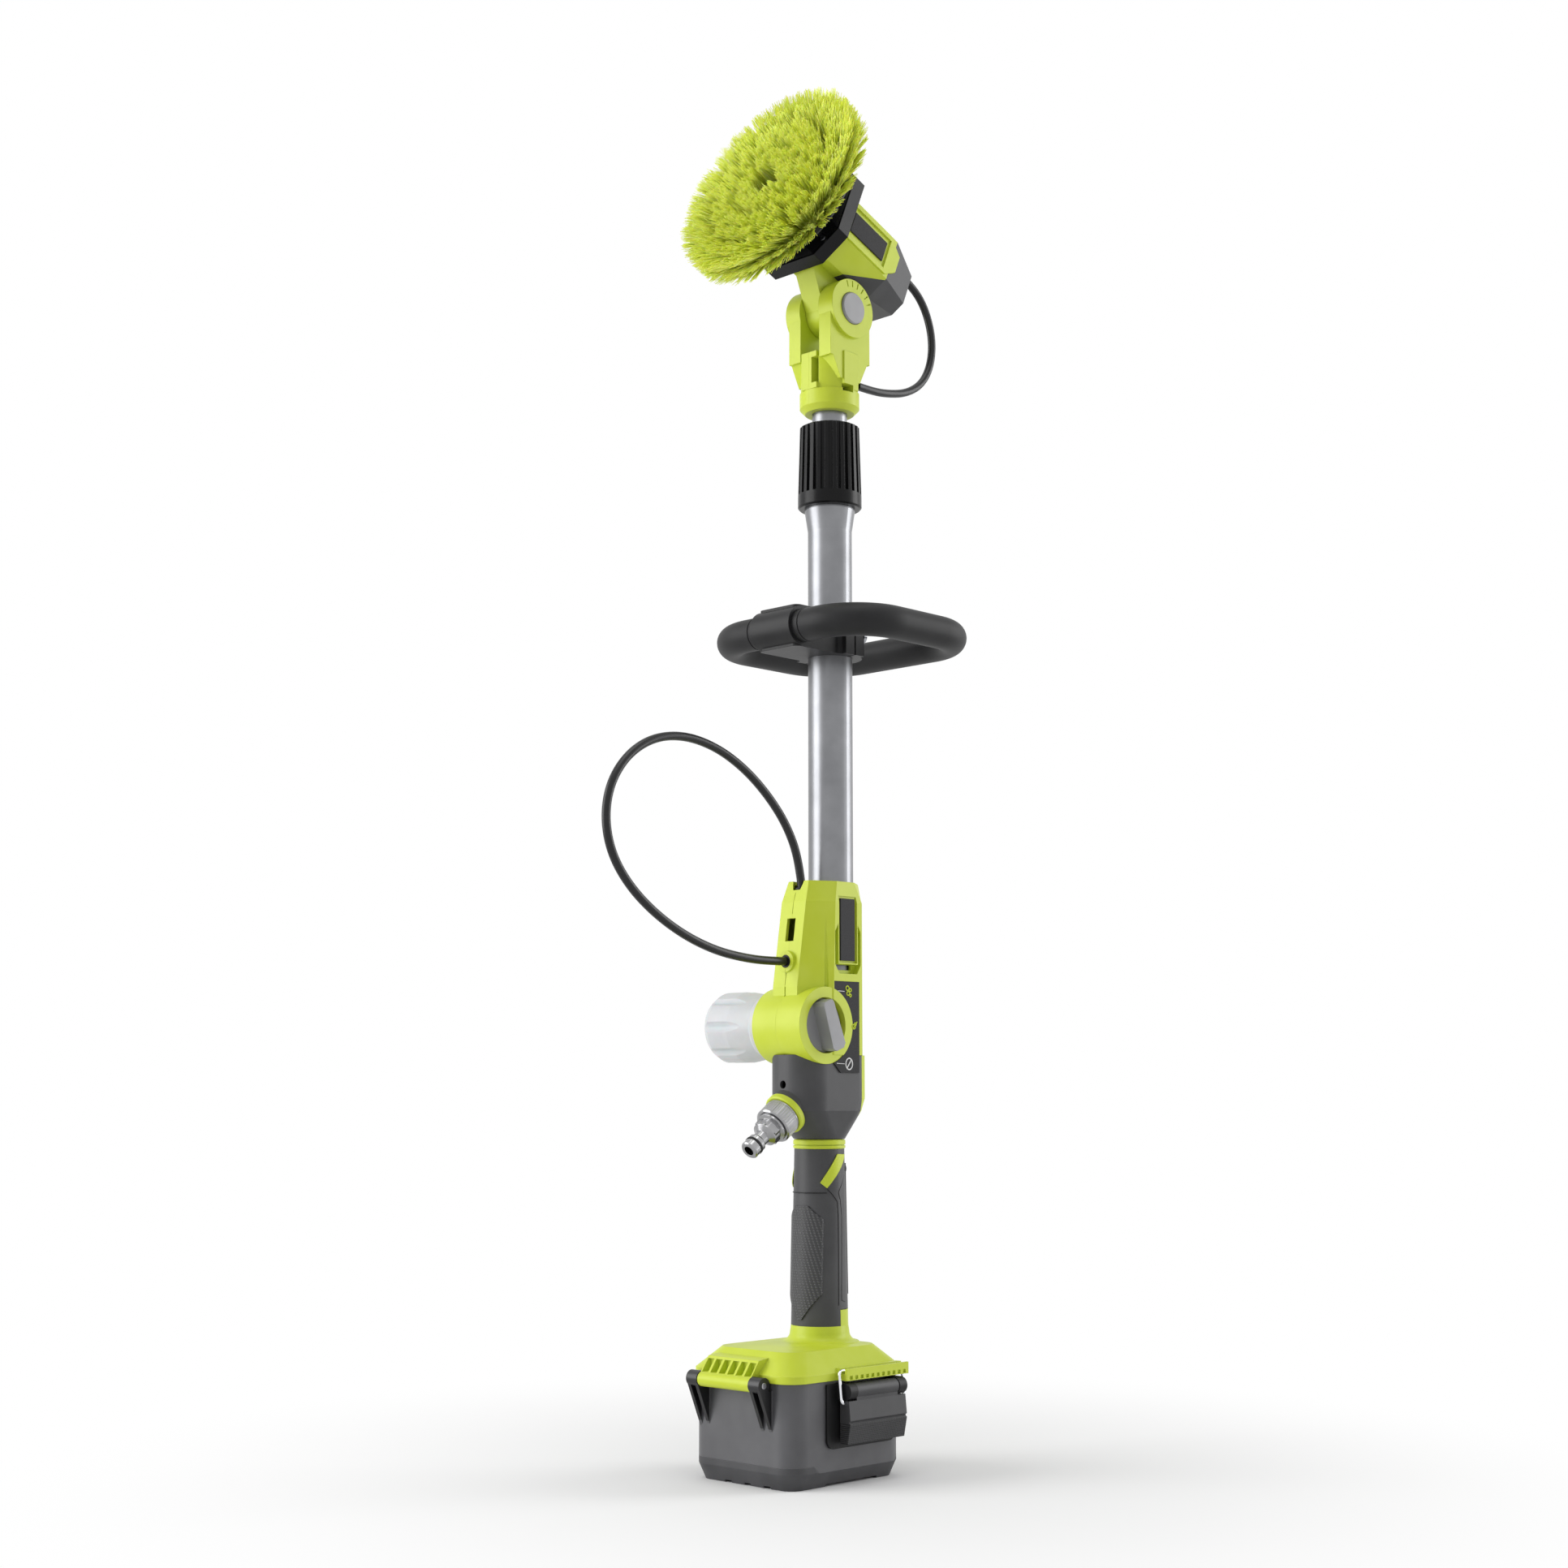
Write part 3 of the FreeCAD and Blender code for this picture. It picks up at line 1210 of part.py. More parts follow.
def build_housing():
    wide = s.box_width
    outer = loft_between(upper_sections(0, 0))
    hollow = loft_between(upper_sections(s.housing_wall, s.housing_wall))
    barrel_half = s.housing_half_width - s.barrel_overlap
    centre = (-barrel_half, -s.valve_offset, VALVE_HEIGHT)
    barrel = rod(s.barrel_radius, barrel_half * 2, centre, AXIS_X)
    lower = lower_form(0)
    lower_hollow = lower_form(s.housing_wall)
    back_part = box(-wide, wide, s.lower_lime_front, wide, 0, s.housing_parting)
    lime_lower = lower.cut(lower_hollow).common(back_part)
    inner_half = barrel_half - s.barrel_wall
    inner = rod(s.barrel_radius - s.barrel_wall, inner_half * 2 - s.dial_recess, (-inner_half, -s.valve_offset, VALVE_HEIGHT),
                AXIS_X)
    body = outer.fuse(barrel).cut(hollow).cut(inner).fuse(lime_lower)
    recess_start = barrel_half - s.dial_recess
    recess = rod(s.dial_radius + s.seat_gap * 2, s.dial_recess + s.cut_overrun, (recess_start, -s.valve_offset, VALVE_HEIGHT),
                 AXIS_X)
    pocket = rod(s.dial_radius + s.seat_gap * 2 + s.dial_floor, s.dial_recess + s.dial_floor - s.seat_gap,
                 (recess_start - s.dial_floor, -s.valve_offset, VALVE_HEIGHT), AXIS_X)
    body = body.fuse(pocket).cut(recess)
    body = body.cut(rod(s.dial_stem_radius + s.running_gap, wide, (0, -s.valve_offset, VALVE_HEIGHT), AXIS_X))
    body = body.cut(rod(s.bottle_mouth_radius + s.seat_gap, wide, (-wide, -s.valve_offset, VALVE_HEIGHT), AXIS_X))
    body = body.cut(rod(s.outer_tube_radius, wide, (0, 0, s.outer_tube_bottom)))
    body = body.fuse(side_pocket_liner()).cut(side_pocket()).cut(side_recess()).cut(dial_plate_shape())
    body = body.cut(side_window()).cut(side_channels())
    body = body.cut(window_cut()).fuse(cable_boss()).cut(cable_cuts())
    seam = box(-s.seam_half_width, s.seam_half_width, -s.housing_front - s.seam_depth, -s.housing_front + s.seam_depth,
               s.housing_parting, s.housing_front_knee)
    body = body.cut(seam)
    left = body.common(box(-wide, 0, -wide, wide, 0, s.housing_top + s.cut_overrun))
    right = body.common(box(0, wide, -wide, wide, 0, s.housing_top + s.cut_overrun))
    solid_piece("housing_left", largest(left))
    solid_piece("housing_right", largest(right))
    cover = lower.cut(lower_hollow).cut(back_part)
    ring_seat = inlet_rod(s.inlet_ring_radius - s.inlet_ring_edge, -s.inlet_reach / 2, 0)
    cover = cover.fuse(ring_seat.cut(lower_hollow))
    cover = cover.cut(inlet_rod(s.inlet_socket_radius, -s.inlet_reach / 2 - s.cut_overrun, s.cut_overrun))
    cover = cover.cut(inlet_rod(s.inlet_ring_radius + s.running_gap, 0, s.inlet_ring_width))
    cover = cover.cut(rod(s.barrel_radius, wide, (-HALF_BOX, -s.valve_offset, VALVE_HEIGHT), AXIS_X))
    cover = cover.cut(dial_plate_shape())
    hole_z = s.lower_waist + s.inlet_ring_radius + s.screw_radius
    cover = cover.cut(rod(s.screw_radius, s.screw_depth, (0, -s.lower_column_offset - s.lower_column_radius - s.cut_overrun, hole_z),
                          AXIS_Y))
    solid_piece("lower_cover", largest(cover))


def largest(shape):
    """The biggest solid of a shape, without slivers."""
    solids = sorted(shape.removeSplitter().Solids, key=lambda solid: solid.Volume)
    return solids[-1]


SIDE_FACE = s.housing_half_width


def side_recess():
    """The recess for the bare name plate on the right face."""
    depth = s.side_recess_depth
    x = SIDE_FACE - depth
    return box(x, SIDE_FACE + s.cut_overrun, -s.side_recess_front, s.side_recess_back, s.side_recess_bottom, s.side_recess_top)


def dial_plate_shape():
    """The flat plate beside the dial, cut round the dial's barrel."""
    front, back = s.housing_side_front - s.barrel_overlap, s.dial_plate_back
    low, high = s.dial_plate_bottom, s.dial_plate_top
    corner = (front + back) / 4
    outline = [
        (SIDE_FACE - s.dial_plate_thickness, -front, high),
        (SIDE_FACE - s.dial_plate_thickness, -front, low + corner),
        (SIDE_FACE - s.dial_plate_thickness, -front + corner, low),
        (SIDE_FACE - s.dial_plate_thickness, back, low),
        (SIDE_FACE - s.dial_plate_thickness, back, high),
    ]
    plate = prism(outline, s.dial_plate_thickness, AXIS_X)
    return plate.cut(rod(s.barrel_radius, s.box_width, (0, -s.valve_offset, VALVE_HEIGHT), AXIS_X))


def window_cut():
    """The small window on the front face."""
    half = s.window_width / 2
    return box(-half - s.barrel_overlap, half - s.barrel_overlap, -s.housing_front - s.cut_overrun, -s.housing_front_top,
               s.window_bottom, s.window_bottom + s.window_height)


def side_pocket():
    """The deep hexagonal pocket round the pad that carries the name plate."""
    x = SIDE_FACE - s.side_pocket_depth
    outline = [
        (x, -s.side_recess_front, s.side_pocket_top),
        (x, -s.side_pocket_front, s.side_pocket_shoulder),
        (x, -s.side_pocket_front, s.side_pocket_knee),
        (x, -s.side_recess_front, s.side_pocket_bottom),
        (x, s.side_recess_back, s.side_pocket_bottom),
        (x, s.side_pocket_back, s.side_pocket_knee),
        (x, s.side_pocket_back, s.side_pocket_shoulder),
        (x, s.side_recess_back, s.side_pocket_top),
    ]
    pocket = prism(outline, s.side_pocket_depth + s.cut_overrun, AXIS_X)
    margin = s.badge_margin / 2
    pad = box(x, SIDE_FACE + s.cut_overrun, -s.side_recess_front - margin, s.side_recess_back + margin,
              s.side_recess_bottom - margin, s.side_recess_top)
    return pocket.cut(pad)


def side_pocket_liner():
    """The wall behind the pocket."""
    x = SIDE_FACE - s.side_pocket_depth - s.side_pocket_liner
    return box(x, SIDE_FACE - s.housing_wall, -s.side_pocket_front - s.side_pocket_liner,
               s.side_pocket_back + s.side_pocket_liner / 2, s.side_pocket_bottom - s.side_pocket_liner,
               s.side_pocket_top + s.side_pocket_liner)


def side_window():
    """The slit under the name plate that shows the tube."""
    return box(SIDE_FACE - s.side_pocket_depth * 2, SIDE_FACE, -s.side_recess_front + s.badge_margin,
               s.side_recess_back - s.badge_margin, s.side_window_bottom, s.side_window_top)


def side_channels():
    """The upright round groove in each front facet."""
    share = s.channel_share
    x = s.housing_front_flat + (s.housing_half_width - s.housing_front_flat) * share
    y = s.housing_front + (s.housing_side_front - s.housing_front) * share
    low = VALVE_HEIGHT + s.barrel_radius
    high = s.housing_shoulder
    return rod(s.channel_radius, high - low, (x, -y, low)).fuse(rod(s.channel_radius, high - low, (-x, -y, low)))


def cable_boss():
    """The raised ring round the lower cable's front hole."""
    back = s.housing_front_top + s.grommet_width
    return rod(s.cable_boss_radius, CABLE_FRONT - back, (0, -CABLE_FRONT, s.cable_boss_height), AXIS_Y).cut(
        rod(s.grommet_radius / 2, s.housing_front, (0, -CABLE_FRONT, s.cable_boss_height), AXIS_Y))


CABLE_FRONT = s.housing_front - s.running_gap * 8
CABLE_TOP_Y = s.housing_front_top - s.cable_radius
CABLE_TOP_Z = s.housing_top - s.cable_notch_depth


def cable_cuts():
    """The two holes that the lower cable runs through, and the notch above the upper one."""
    radius = s.grommet_radius + s.running_gap
    front = rod(radius, s.housing_front_top, (0, -CABLE_FRONT, s.cable_boss_height), AXIS_Y)
    top = rod(radius, s.housing_wall * 6, (0, -CABLE_TOP_Y, CABLE_TOP_Z - s.housing_wall * 6))
    notch = rod(s.cable_notch_radius, s.cable_notch_depth * 2, (0, -CABLE_TOP_Y, CABLE_TOP_Z))
    return front.fuse(top).fuse(notch)


def build_plates():
    solid_piece("dial_plate", largest(dial_plate_shape()))
    margin = s.badge_margin
    x = SIDE_FACE - s.side_recess_depth
    plate = rounded_block(x, x + s.badge_thickness, -s.side_recess_front + margin, s.side_recess_back - margin,
                          s.side_recess_bottom + margin, s.side_recess_top - margin, s.badge_thickness / 3)
    solid_piece("name_plate", plate)


def build_valve():
    start = -s.valve_body_radius
    end = s.housing_half_width - s.barrel_overlap - s.dial_recess - s.barrel_wall
    outline = [(0, start), (s.valve_body_radius, start), (s.valve_body_radius, end), (0, end)]
    body = turned("mixing_valve", outline)
    add_pocket(body, s.housing_half_width, circles=[(0, 0, s.dial_stem_radius + s.running_gap)], backwards=True)
    place(body, (0, -s.valve_offset, VALVE_HEIGHT), FACING_RIGHT)


def build_dial():
    disc, bar = s.dial_disc, s.dial_bar_height
    start = s.seat_gap
    outline = [(0, start), (s.dial_radius, start), (s.dial_radius, disc - s.badge_thickness / 2),
               (s.dial_radius - s.badge_thickness, disc), (0, disc)]
    dial = turned("valve_dial", outline)
    half, reach = s.dial_bar_width / 2, s.dial_bar_length / 2
    taper = s.dial_bar_width / 5
    corners = [(-half + taper, -reach), (half - taper, -reach), (half, taper - reach), (half - taper / 2, reach - taper),
               (half - taper, reach), (taper - half, reach), (taper / 2 - half, reach - taper), (-half, taper - reach)]
    add_pad(dial, disc + bar, outlines=[corners])
    add_pad(dial, s.dial_floor * 4, circles=[(0, 0, s.dial_stem_radius)], backwards=True)
    base = s.housing_half_width - s.barrel_overlap - s.dial_recess
    turn = FreeCAD.Rotation(AXIS_X, s.dial_lean).multiply(FACING_RIGHT).multiply(FreeCAD.Rotation(AXIS_Z, 90))
    place(dial, (base, -s.valve_offset, VALVE_HEIGHT), turn)


def build_bottle():
    wall, collar, length = s.bottle_wall, s.bottle_collar, s.bottle_length
    neck, full, round_off = s.bottle_neck_radius, s.bottle_radius, s.bottle_rounding
    outer = [
        (s.bottle_mouth_radius - wall, -collar), (s.bottle_mouth_radius, -collar), (s.bottle_mouth_radius, 0),
        (neck, 0), (neck, collar), (neck - wall / 2, collar + wall), (full, length / 2), (full, length - round_off),
        (full - round_off / 3, length - round_off / 3), (full - round_off, length),
        (0, length), (0, length - wall), (full - round_off - wall / 2, length - wall),
        (full - wall, length - round_off), (full - wall, length / 2), (neck - wall * 1.5, collar + wall),
        (s.bottle_mouth_radius - wall, wall),
    ]
    bottle = turned("soap_bottle", outer)
    spread = s.bottle_lobe_depth
    groove = add_pocket(bottle, length - collar * 2, circles=[(s.bottle_radius + spread * 2, 0, spread * 3)], backwards=True,
                        lift=collar * 2.5)
    repeat_round(bottle, groove, s.bottle_lobe_count)
    place(bottle, (-s.housing_half_width - s.seat_gap, -s.valve_offset, VALVE_HEIGHT), FACING_LEFT)


build_housing()
build_plates()
build_valve()
build_dial()
build_bottle()


# Water inlet: lime ring, free-turning coupling nut, nipple and its seal

def at_inlet(body, along=0):
    """Seats a body on the inlet's axis, a distance out from the ring's seat."""
    slope, rise = cosine(s.inlet_angle), sine(s.inlet_angle)
    place(body, (0, -s.inlet_reach - slope * along, s.inlet_height - rise * along), INLET_TURN)


NUT_START = s.inlet_ring_width + s.seat_gap
NUT_END = NUT_START + s.coupling_length


def build_inlet():
    edge, width = s.inlet_ring_edge, s.inlet_ring_width
    radius, bore = s.inlet_ring_radius, s.inlet_socket_radius
    ring = turned("inlet_ring", [(bore, 0), (radius, 0), (radius, width - edge), (radius - edge, width), (bore, width)])
    at_inlet(ring)
    outer, inner, length = s.coupling_radius, s.inlet_socket_radius - s.coupling_rib_depth * 2, s.coupling_length
    nut = turned("coupling_nut", [(inner, 0), (outer, 0), (outer, length - edge), (outer - edge, length), (inner, length)])
    rib = s.coupling_rib_depth
    cut = add_pocket(nut, length - width / 2, circles=[(outer + rib / 2, 0, rib * 1.2)], lift=width / 4)
    repeat_round(nut, cut, s.coupling_rib_count)
    at_inlet(nut, NUT_START)
    flange, hexagon, neck, tip = (s.nipple_flange_radius, s.nipple_hex_radius, s.nipple_neck_radius, s.nipple_tip_radius)
    bore, stem = s.nipple_bore, inner - s.running_gap * 4
    groove, total = s.nipple_groove, s.nipple_length
    start = -s.coupling_length
    lip = s.seat_gap
    outline = [
        (bore, start), (stem, start), (stem, length + lip), (flange, length + lip), (flange, length + lip + edge * 2),
        (hexagon, length + lip + edge * 3), (hexagon, length + total / 3), (neck, length + total / 2.4),
        (neck, length + total / 1.7), (tip, length + total / 1.55), (tip, length + total / 1.35),
        (tip - groove, length + total / 1.35), (tip - groove, length + total / 1.35 + groove * 1.6),
        (tip, length + total / 1.35 + groove * 1.6), (tip, length + total - edge), (tip - edge, length + total),
        (bore, length + total),
    ]
    nipple = turned("hose_nipple", outline)
    across = hexagon + edge
    flats = [(across * cosine(60 * step), across * sine(60 * step)) for step in range(6)]
    add_pad(nipple, length + total / 3.4, outlines=[flats])
    add_pocket(nipple, length + total, circles=[(0, 0, bore)], backwards=True)
    at_inlet(nipple, NUT_START)
    seal_start = length + total / 1.35 + lip / 2
    seal = turned("nipple_seal", [
        (tip - groove, seal_start), (tip + lip, seal_start), (tip + lip, seal_start + groove * 1.3),
        (tip - groove, seal_start + groove * 1.3),
    ])
    at_inlet(seal, NUT_START)


# Tubes, twist lock and collet

def build_tubes():
    radius, wall = s.outer_tube_radius, s.outer_tube_wall
    low, high = s.outer_tube_bottom, OUTER_TUBE_TOP
    outline = [
        (radius - wall, 0), (radius, 0), (radius, FERRULE_START - low), (s.ferrule_radius, FERRULE_END - low),
        (s.ferrule_radius, FERRULE_END - low + wall), (radius, FERRULE_END - low + wall), (radius, high - low),
        (radius - wall, high - low),
    ]
    place(turned("outer_tube", outline), (0, 0, low))
    radius, wall = s.inner_tube_radius, s.inner_tube_wall
    low, high = s.inner_tube_bottom, INNER_TUBE_TOP
    inner = padded("inner_tube", high - low, circles=[(0, 0, radius), (0, 0, radius - wall)])
    place(inner, (0, 0, low))
    skirt = s.outer_tube_radius - s.outer_tube_wall - s.running_gap
    height = s.bush_height
    outline = [(radius - wall * 2, -s.bush_skirt), (skirt, -s.bush_skirt), (skirt, 0), (radius - wall, 0),
               (radius - wall, height - s.bush_skirt), (radius - wall * 2, height - s.bush_skirt)]
    place(turned("slide_bush", outline), (0, 0, low))


def build_lock():
    low, high = COLLAR_BOTTOM, COLLAR_TOP
    length = high - low
    cavity, bore = s.collar_cavity_radius, s.inner_tube_radius + s.seat_gap
    bottom, top, band = s.collar_bottom_radius, s.collar_top_radius, s.collar_band
    edge = s.collar_rib_depth
    outline = [
        (s.outer_tube_radius + s.seat_gap, 0), (bottom - edge, 0), (bottom, edge), (bottom, band), (top, length - edge),
        (top - edge * 2, length), (bore, length), (bore, length - s.collar_lip), (cavity, length - s.collar_lip * 1.6),
        (cavity, s.collar_lip), (s.outer_tube_radius + s.seat_gap, s.collar_lip),
    ]
    collar = turned("lock_collar", outline)
    half = s.collar_rib_width / 2
    reach = top - edge
    groove = [(reach, -half), (bottom + edge, -half), (bottom + edge, half), (reach, half)]
    cut = add_pocket(collar, length, outlines=[groove], lift=band * 1.2)
    repeat_round(collar, cut, s.collar_rib_count)
    place(collar, (0, 0, low))
    low, high = COLLET_BOTTOM, COLLET_TOP
    length = high - low
    seat = OUTER_TUBE_TOP - low
    outer, tip = s.collet_radius, s.collet_tip_radius
    grip = s.inner_tube_radius + s.running_gap
    outline = [
        (s.outer_tube_radius, 0), (outer, 0), (outer, seat + s.collar_lip), (tip, length), (grip, length), (grip, seat),
        (s.outer_tube_radius, seat),
    ]
    collet = turned("tube_collet", outline)
    half = s.collet_slot_width / 2
    slot = [(grip - edge, -half), (outer + edge, -half), (outer + edge, half), (grip - edge, half)]
    cut = add_pocket(collet, length, outlines=[slot], lift=seat + s.collar_lip)
    repeat_round(collet, cut, s.collet_slot_count)
    place(collet, (0, 0, low))


# Neck in two halves, pivot sleeve, tilt button and its spring

def ear_disc(radius, x0, x1):
    return rod(radius, x1 - x0, (x0, 0, s.pivot_height), AXIS_X)


def build_neck():
    radius, low, shoulder = s.neck_radius, NECK_BOTTOM, NECK_SHOULDER
    proud, strip = s.neck_band_proud, s.neck_strip_half_width
    neck = rod(radius, shoulder - low, (0, 0, low))
    taper = Part.makeCone(radius - proud * 3, radius + proud, proud * 4, V(0, 0, low))
    neck = neck.cut(rod(radius + proud, proud * 4, (0, 0, low))).fuse(taper)
    neck = neck.fuse(rod(radius + proud, s.neck_band_height - proud * 4, (0, 0, low + proud * 4)))
    out = radius + s.neck_strip_proud
    neck = neck.fuse(box(-strip, strip, -out, 0, low + s.neck_band_height, shoulder))
    neck = neck.fuse(box(0, out, -strip, strip, low + s.neck_band_height, shoulder))
    neck = neck.fuse(box(-out, 0, -strip, strip, low + s.neck_band_height, shoulder))
    for side in (-1, 1):
        near, far = s.ear_inner, s.ear_outer
        x0, x1 = (near, far) if side > 0 else (-far, -near)
        ear = ear_disc(s.ear_radius, x0, x1).fuse(box(x0, x1, -radius, radius, shoulder - radius / 4, s.pivot_height))
        boss_x = x0 + far - near if side > 0 else x0 - s.ear_boss
        boss = ear_disc(s.ear_radius, boss_x, boss_x + s.ear_boss)
        web = prism([(x0, -radius, shoulder), (x0, radius, shoulder), (x0, radius / 2, shoulder - radius),
                     (x0, -radius / 2, shoulder - radius)], x1 - x0, AXIS_X)
        neck = neck.fuse(ear).fuse(boss).fuse(web)
    wide = s.box_width
    bore = rod(s.inner_tube_radius, INNER_TUBE_TOP - low + s.cut_overrun, (0, 0, low - s.cut_overrun))
    pin = ear_disc(s.sleeve_radius, SLEEVE_START, wide)
    left = neck.common(box(-wide, 0, -wide, wide, 0, s.pivot_height + wide)).cut(bore).cut(pin)
    solid_piece("neck_left", largest(left))
    right = neck.common(box(0, wide, -wide, wide, 0, s.pivot_height + wide)).removeSplitter()
    right = right.cut(bore).cut(pin).cut(ear_disc(s.tilt_button_radius + s.seat_gap, BUTTON_FLOOR, wide))
    right = right.removeSplitter()
    for step in range(int(s.ear_mark_count)):
        right = right.cut(ear_mark(step * s.ear_mark_step))
    slot_x = strip - s.neck_slot_width
    right = right.cut(box(slot_x, slot_x + s.neck_slot_width, -wide, 0, NECK_SLOT_BOTTOM, NECK_SLOT_TOP))
    x, y, z = HEAD_CABLE[-1]
    right = right.cut(rod(s.cable_radius + s.running_gap, radius * 2, (x, y - radius, z), AXIS_Y))
    window, sill = s.cable_hole_radius, CABLE_HOLE_HEIGHT
    right = right.cut(box(0, wide, -window * 2, window / 2, sill, sill + window * 1.4))
    solid_piece("neck_right", largest(right))


BUTTON_FLOOR = s.ear_outer + s.ear_boss - s.tilt_button_depth
SLEEVE_START = s.ear_boss - s.ear_outer


def ear_mark(bearing):
    """One short groove on the right ear, fanned round the pivot."""
    reach = s.ear_radius - s.ear_mark_length - s.ear_mark_width
    half = s.ear_mark_width / 2
    x = s.ear_outer + s.ear_boss - s.ear_mark_depth
    mark = box(x, x + s.cut_overrun, -half, half, reach, reach + s.ear_mark_length)
    mark.rotate(V(0, 0, 0), AXIS_X, s.ear_mark_step - bearing)
    mark.translate(V(0, 0, s.pivot_height))
    return mark


def build_pivot():
    radius, wall = s.sleeve_radius, s.sleeve_wall
    length = BUTTON_FLOOR - SLEEVE_START
    sleeve = padded("pivot_sleeve", length, circles=[(0, 0, radius)])
    add_pocket(sleeve, length, circles=[(0, 0, radius - wall)], lift=wall * 2)
    place(sleeve, (SLEEVE_START, 0, s.pivot_height), FACING_RIGHT)
    face = s.ear_outer + s.ear_boss + s.tilt_button_proud
    back = BUTTON_FLOOR + s.tilt_button_travel + s.seat_gap
    edge = s.tilt_button_proud / 2
    cap = s.tilt_button_radius
    stem = radius - wall - s.running_gap
    reach = s.tilt_button_depth
    button = turned("tilt_button", [
        (0, -reach), (stem, -reach), (stem, 0), (cap, 0), (cap, face - back - edge), (cap - edge, face - back),
        (0, face - back),
    ])
    place(button, (back, 0, s.pivot_height), FACING_RIGHT)
    start = SLEEVE_START + wall * 2
    coil = stem - s.seat_gap
    spring = padded("tilt_spring", back - reach - start, circles=[(0, 0, coil), (0, 0, coil - s.spring_wall)])
    place(spring, (start, 0, s.pivot_height), FACING_RIGHT)


# Motor head, in its own frame: pivot at the origin, brush axis along +Z at head_offset

def head_eight(half_width, half_height, chamfer, z):
    """An eight-sided section of the head, centred on the brush axis."""
    section = eight_corners(half_width, half_height, half_height, half_width - chamfer, half_height - chamfer,
                            half_height - chamfer, z)
    return [(x, y + s.head_offset, z) for x, y, z in section]


def head_form(inset):
    half, high, chamfer = s.head_half_width - inset, s.head_half_height - inset, s.head_chamfer - inset / 2
    rear = s.head_rear_half_width - inset
    return loft_between([
        head_eight(rear, rear, s.head_rear_chamfer - inset / 2, s.head_rear + inset),
        head_eight(half, high, chamfer, s.head_waist),
        head_eight(half, high, chamfer, s.head_front),
    ])


def head_piece(label, shape):
    return solid_piece(label, shape, (0, 0, s.pivot_height), HEAD_TURN)


def build_head_shells():
    wide = s.box_width * 2
    whole = head_form(0).cut(head_form(s.head_wall))
    panel = []
    half_panel = s.head_half_height - s.head_chamfer - s.head_panel_proud
    for z, share in ((s.head_front, 1.0), (s.head_waist + half_panel / 2, 1.0), (s.head_waist - half_panel / 3, 0.4)):
        panel.append((-s.head_half_width - s.head_panel_proud, s.head_offset + half_panel * share, z))
    for z, share in ((s.head_waist - half_panel / 3, -0.5), (s.head_waist + half_panel / 4, -1.0), (s.head_front, -1.0)):
        panel.append((-s.head_half_width - s.head_panel_proud, s.head_offset + half_panel * share, z))
    raised = prism(panel, (s.head_half_width + s.head_panel_proud) * 2, AXIS_X).cut(
        box(s.head_panel_proud * 2 - s.head_half_width, s.head_half_width - s.head_panel_proud * 2, 0, wide,
            s.head_rear, s.head_front))
    rear = box(-wide, wide, -wide, wide, -wide, s.head_waist)
    chin = [
        (-wide, s.head_chin_height, s.head_waist),
        (-wide, s.head_chin_low, s.head_chin_front),
        (-wide, 0, s.head_chin_front),
        (-wide, 0, s.head_waist),
    ]
    grey_zone = rear.fuse(prism(chin, wide * 2, AXIS_X))
    rear_cover = whole.common(grey_zone).cut(raised)
    rear_cover = rear_cover.fuse(rod(s.gland_radius, s.gland_height, HEAD_EXIT, -AXIS_Z))
    head_piece("head_rear_cover", largest(rear_cover))
    lime = whole.cut(grey_zone).fuse(raised)
    plate_half = half_panel - s.badge_margin * 2
    for side in (-1, 1):
        x = side * (s.head_half_width + s.head_panel_proud)
        x0 = x - s.badge_thickness if side > 0 else x - s.cut_overrun
        plate = box(x0, x0 + s.badge_thickness + s.cut_overrun, s.head_offset - plate_half, s.head_offset + plate_half,
                    s.head_waist + s.head_chamfer / 2, s.head_front - s.badge_lift)
        lime = lime.cut(plate)
    head_piece("head_shell_left", largest(lime.common(box(-wide, 0, -wide, wide, -wide, wide))))
    head_piece("head_shell_right", largest(lime.common(box(0, wide, -wide, wide, -wide, wide))))


HEAD_EXIT = (s.head_gland_side, s.head_offset + s.head_gland_rise, s.head_rear)


def build_lug():
    half, radius = s.lug_half_width, s.lug_radius
    top = s.head_offset - s.head_half_height
    outline = [
        (-half, 0, -radius),
        (-half, top, -s.lug_back - radius / 2),
        (-half, top, s.head_front - s.seat_gap),
        (-half, top - s.head_wall, s.head_front - s.seat_gap),
        (-half, -radius * 0.4, radius * 0.91),
    ]
    lug = rod(radius, half * 2, (-half, 0, 0), AXIS_X).fuse(prism(outline, half * 2, AXIS_X))
    lug = lug.cut(rod(s.sleeve_radius + s.running_gap, s.box_width, (-HALF_BOX, 0, 0), AXIS_X))
    head_piece("tilt_lug", lug.removeSplitter())


GEAR_DISTANCE = s.gear_module * (s.pinion_teeth + s.gear_teeth) / 2
MOTOR_Y = s.head_offset - GEAR_DISTANCE
COVER_FLOOR = s.head_front + s.cover_wall
GEAR_START = COVER_FLOOR + s.seat_gap
GEAR_END = GEAR_START + s.gear_width
COVER_NOSE = s.head_front + s.cover_band + s.cover_nose


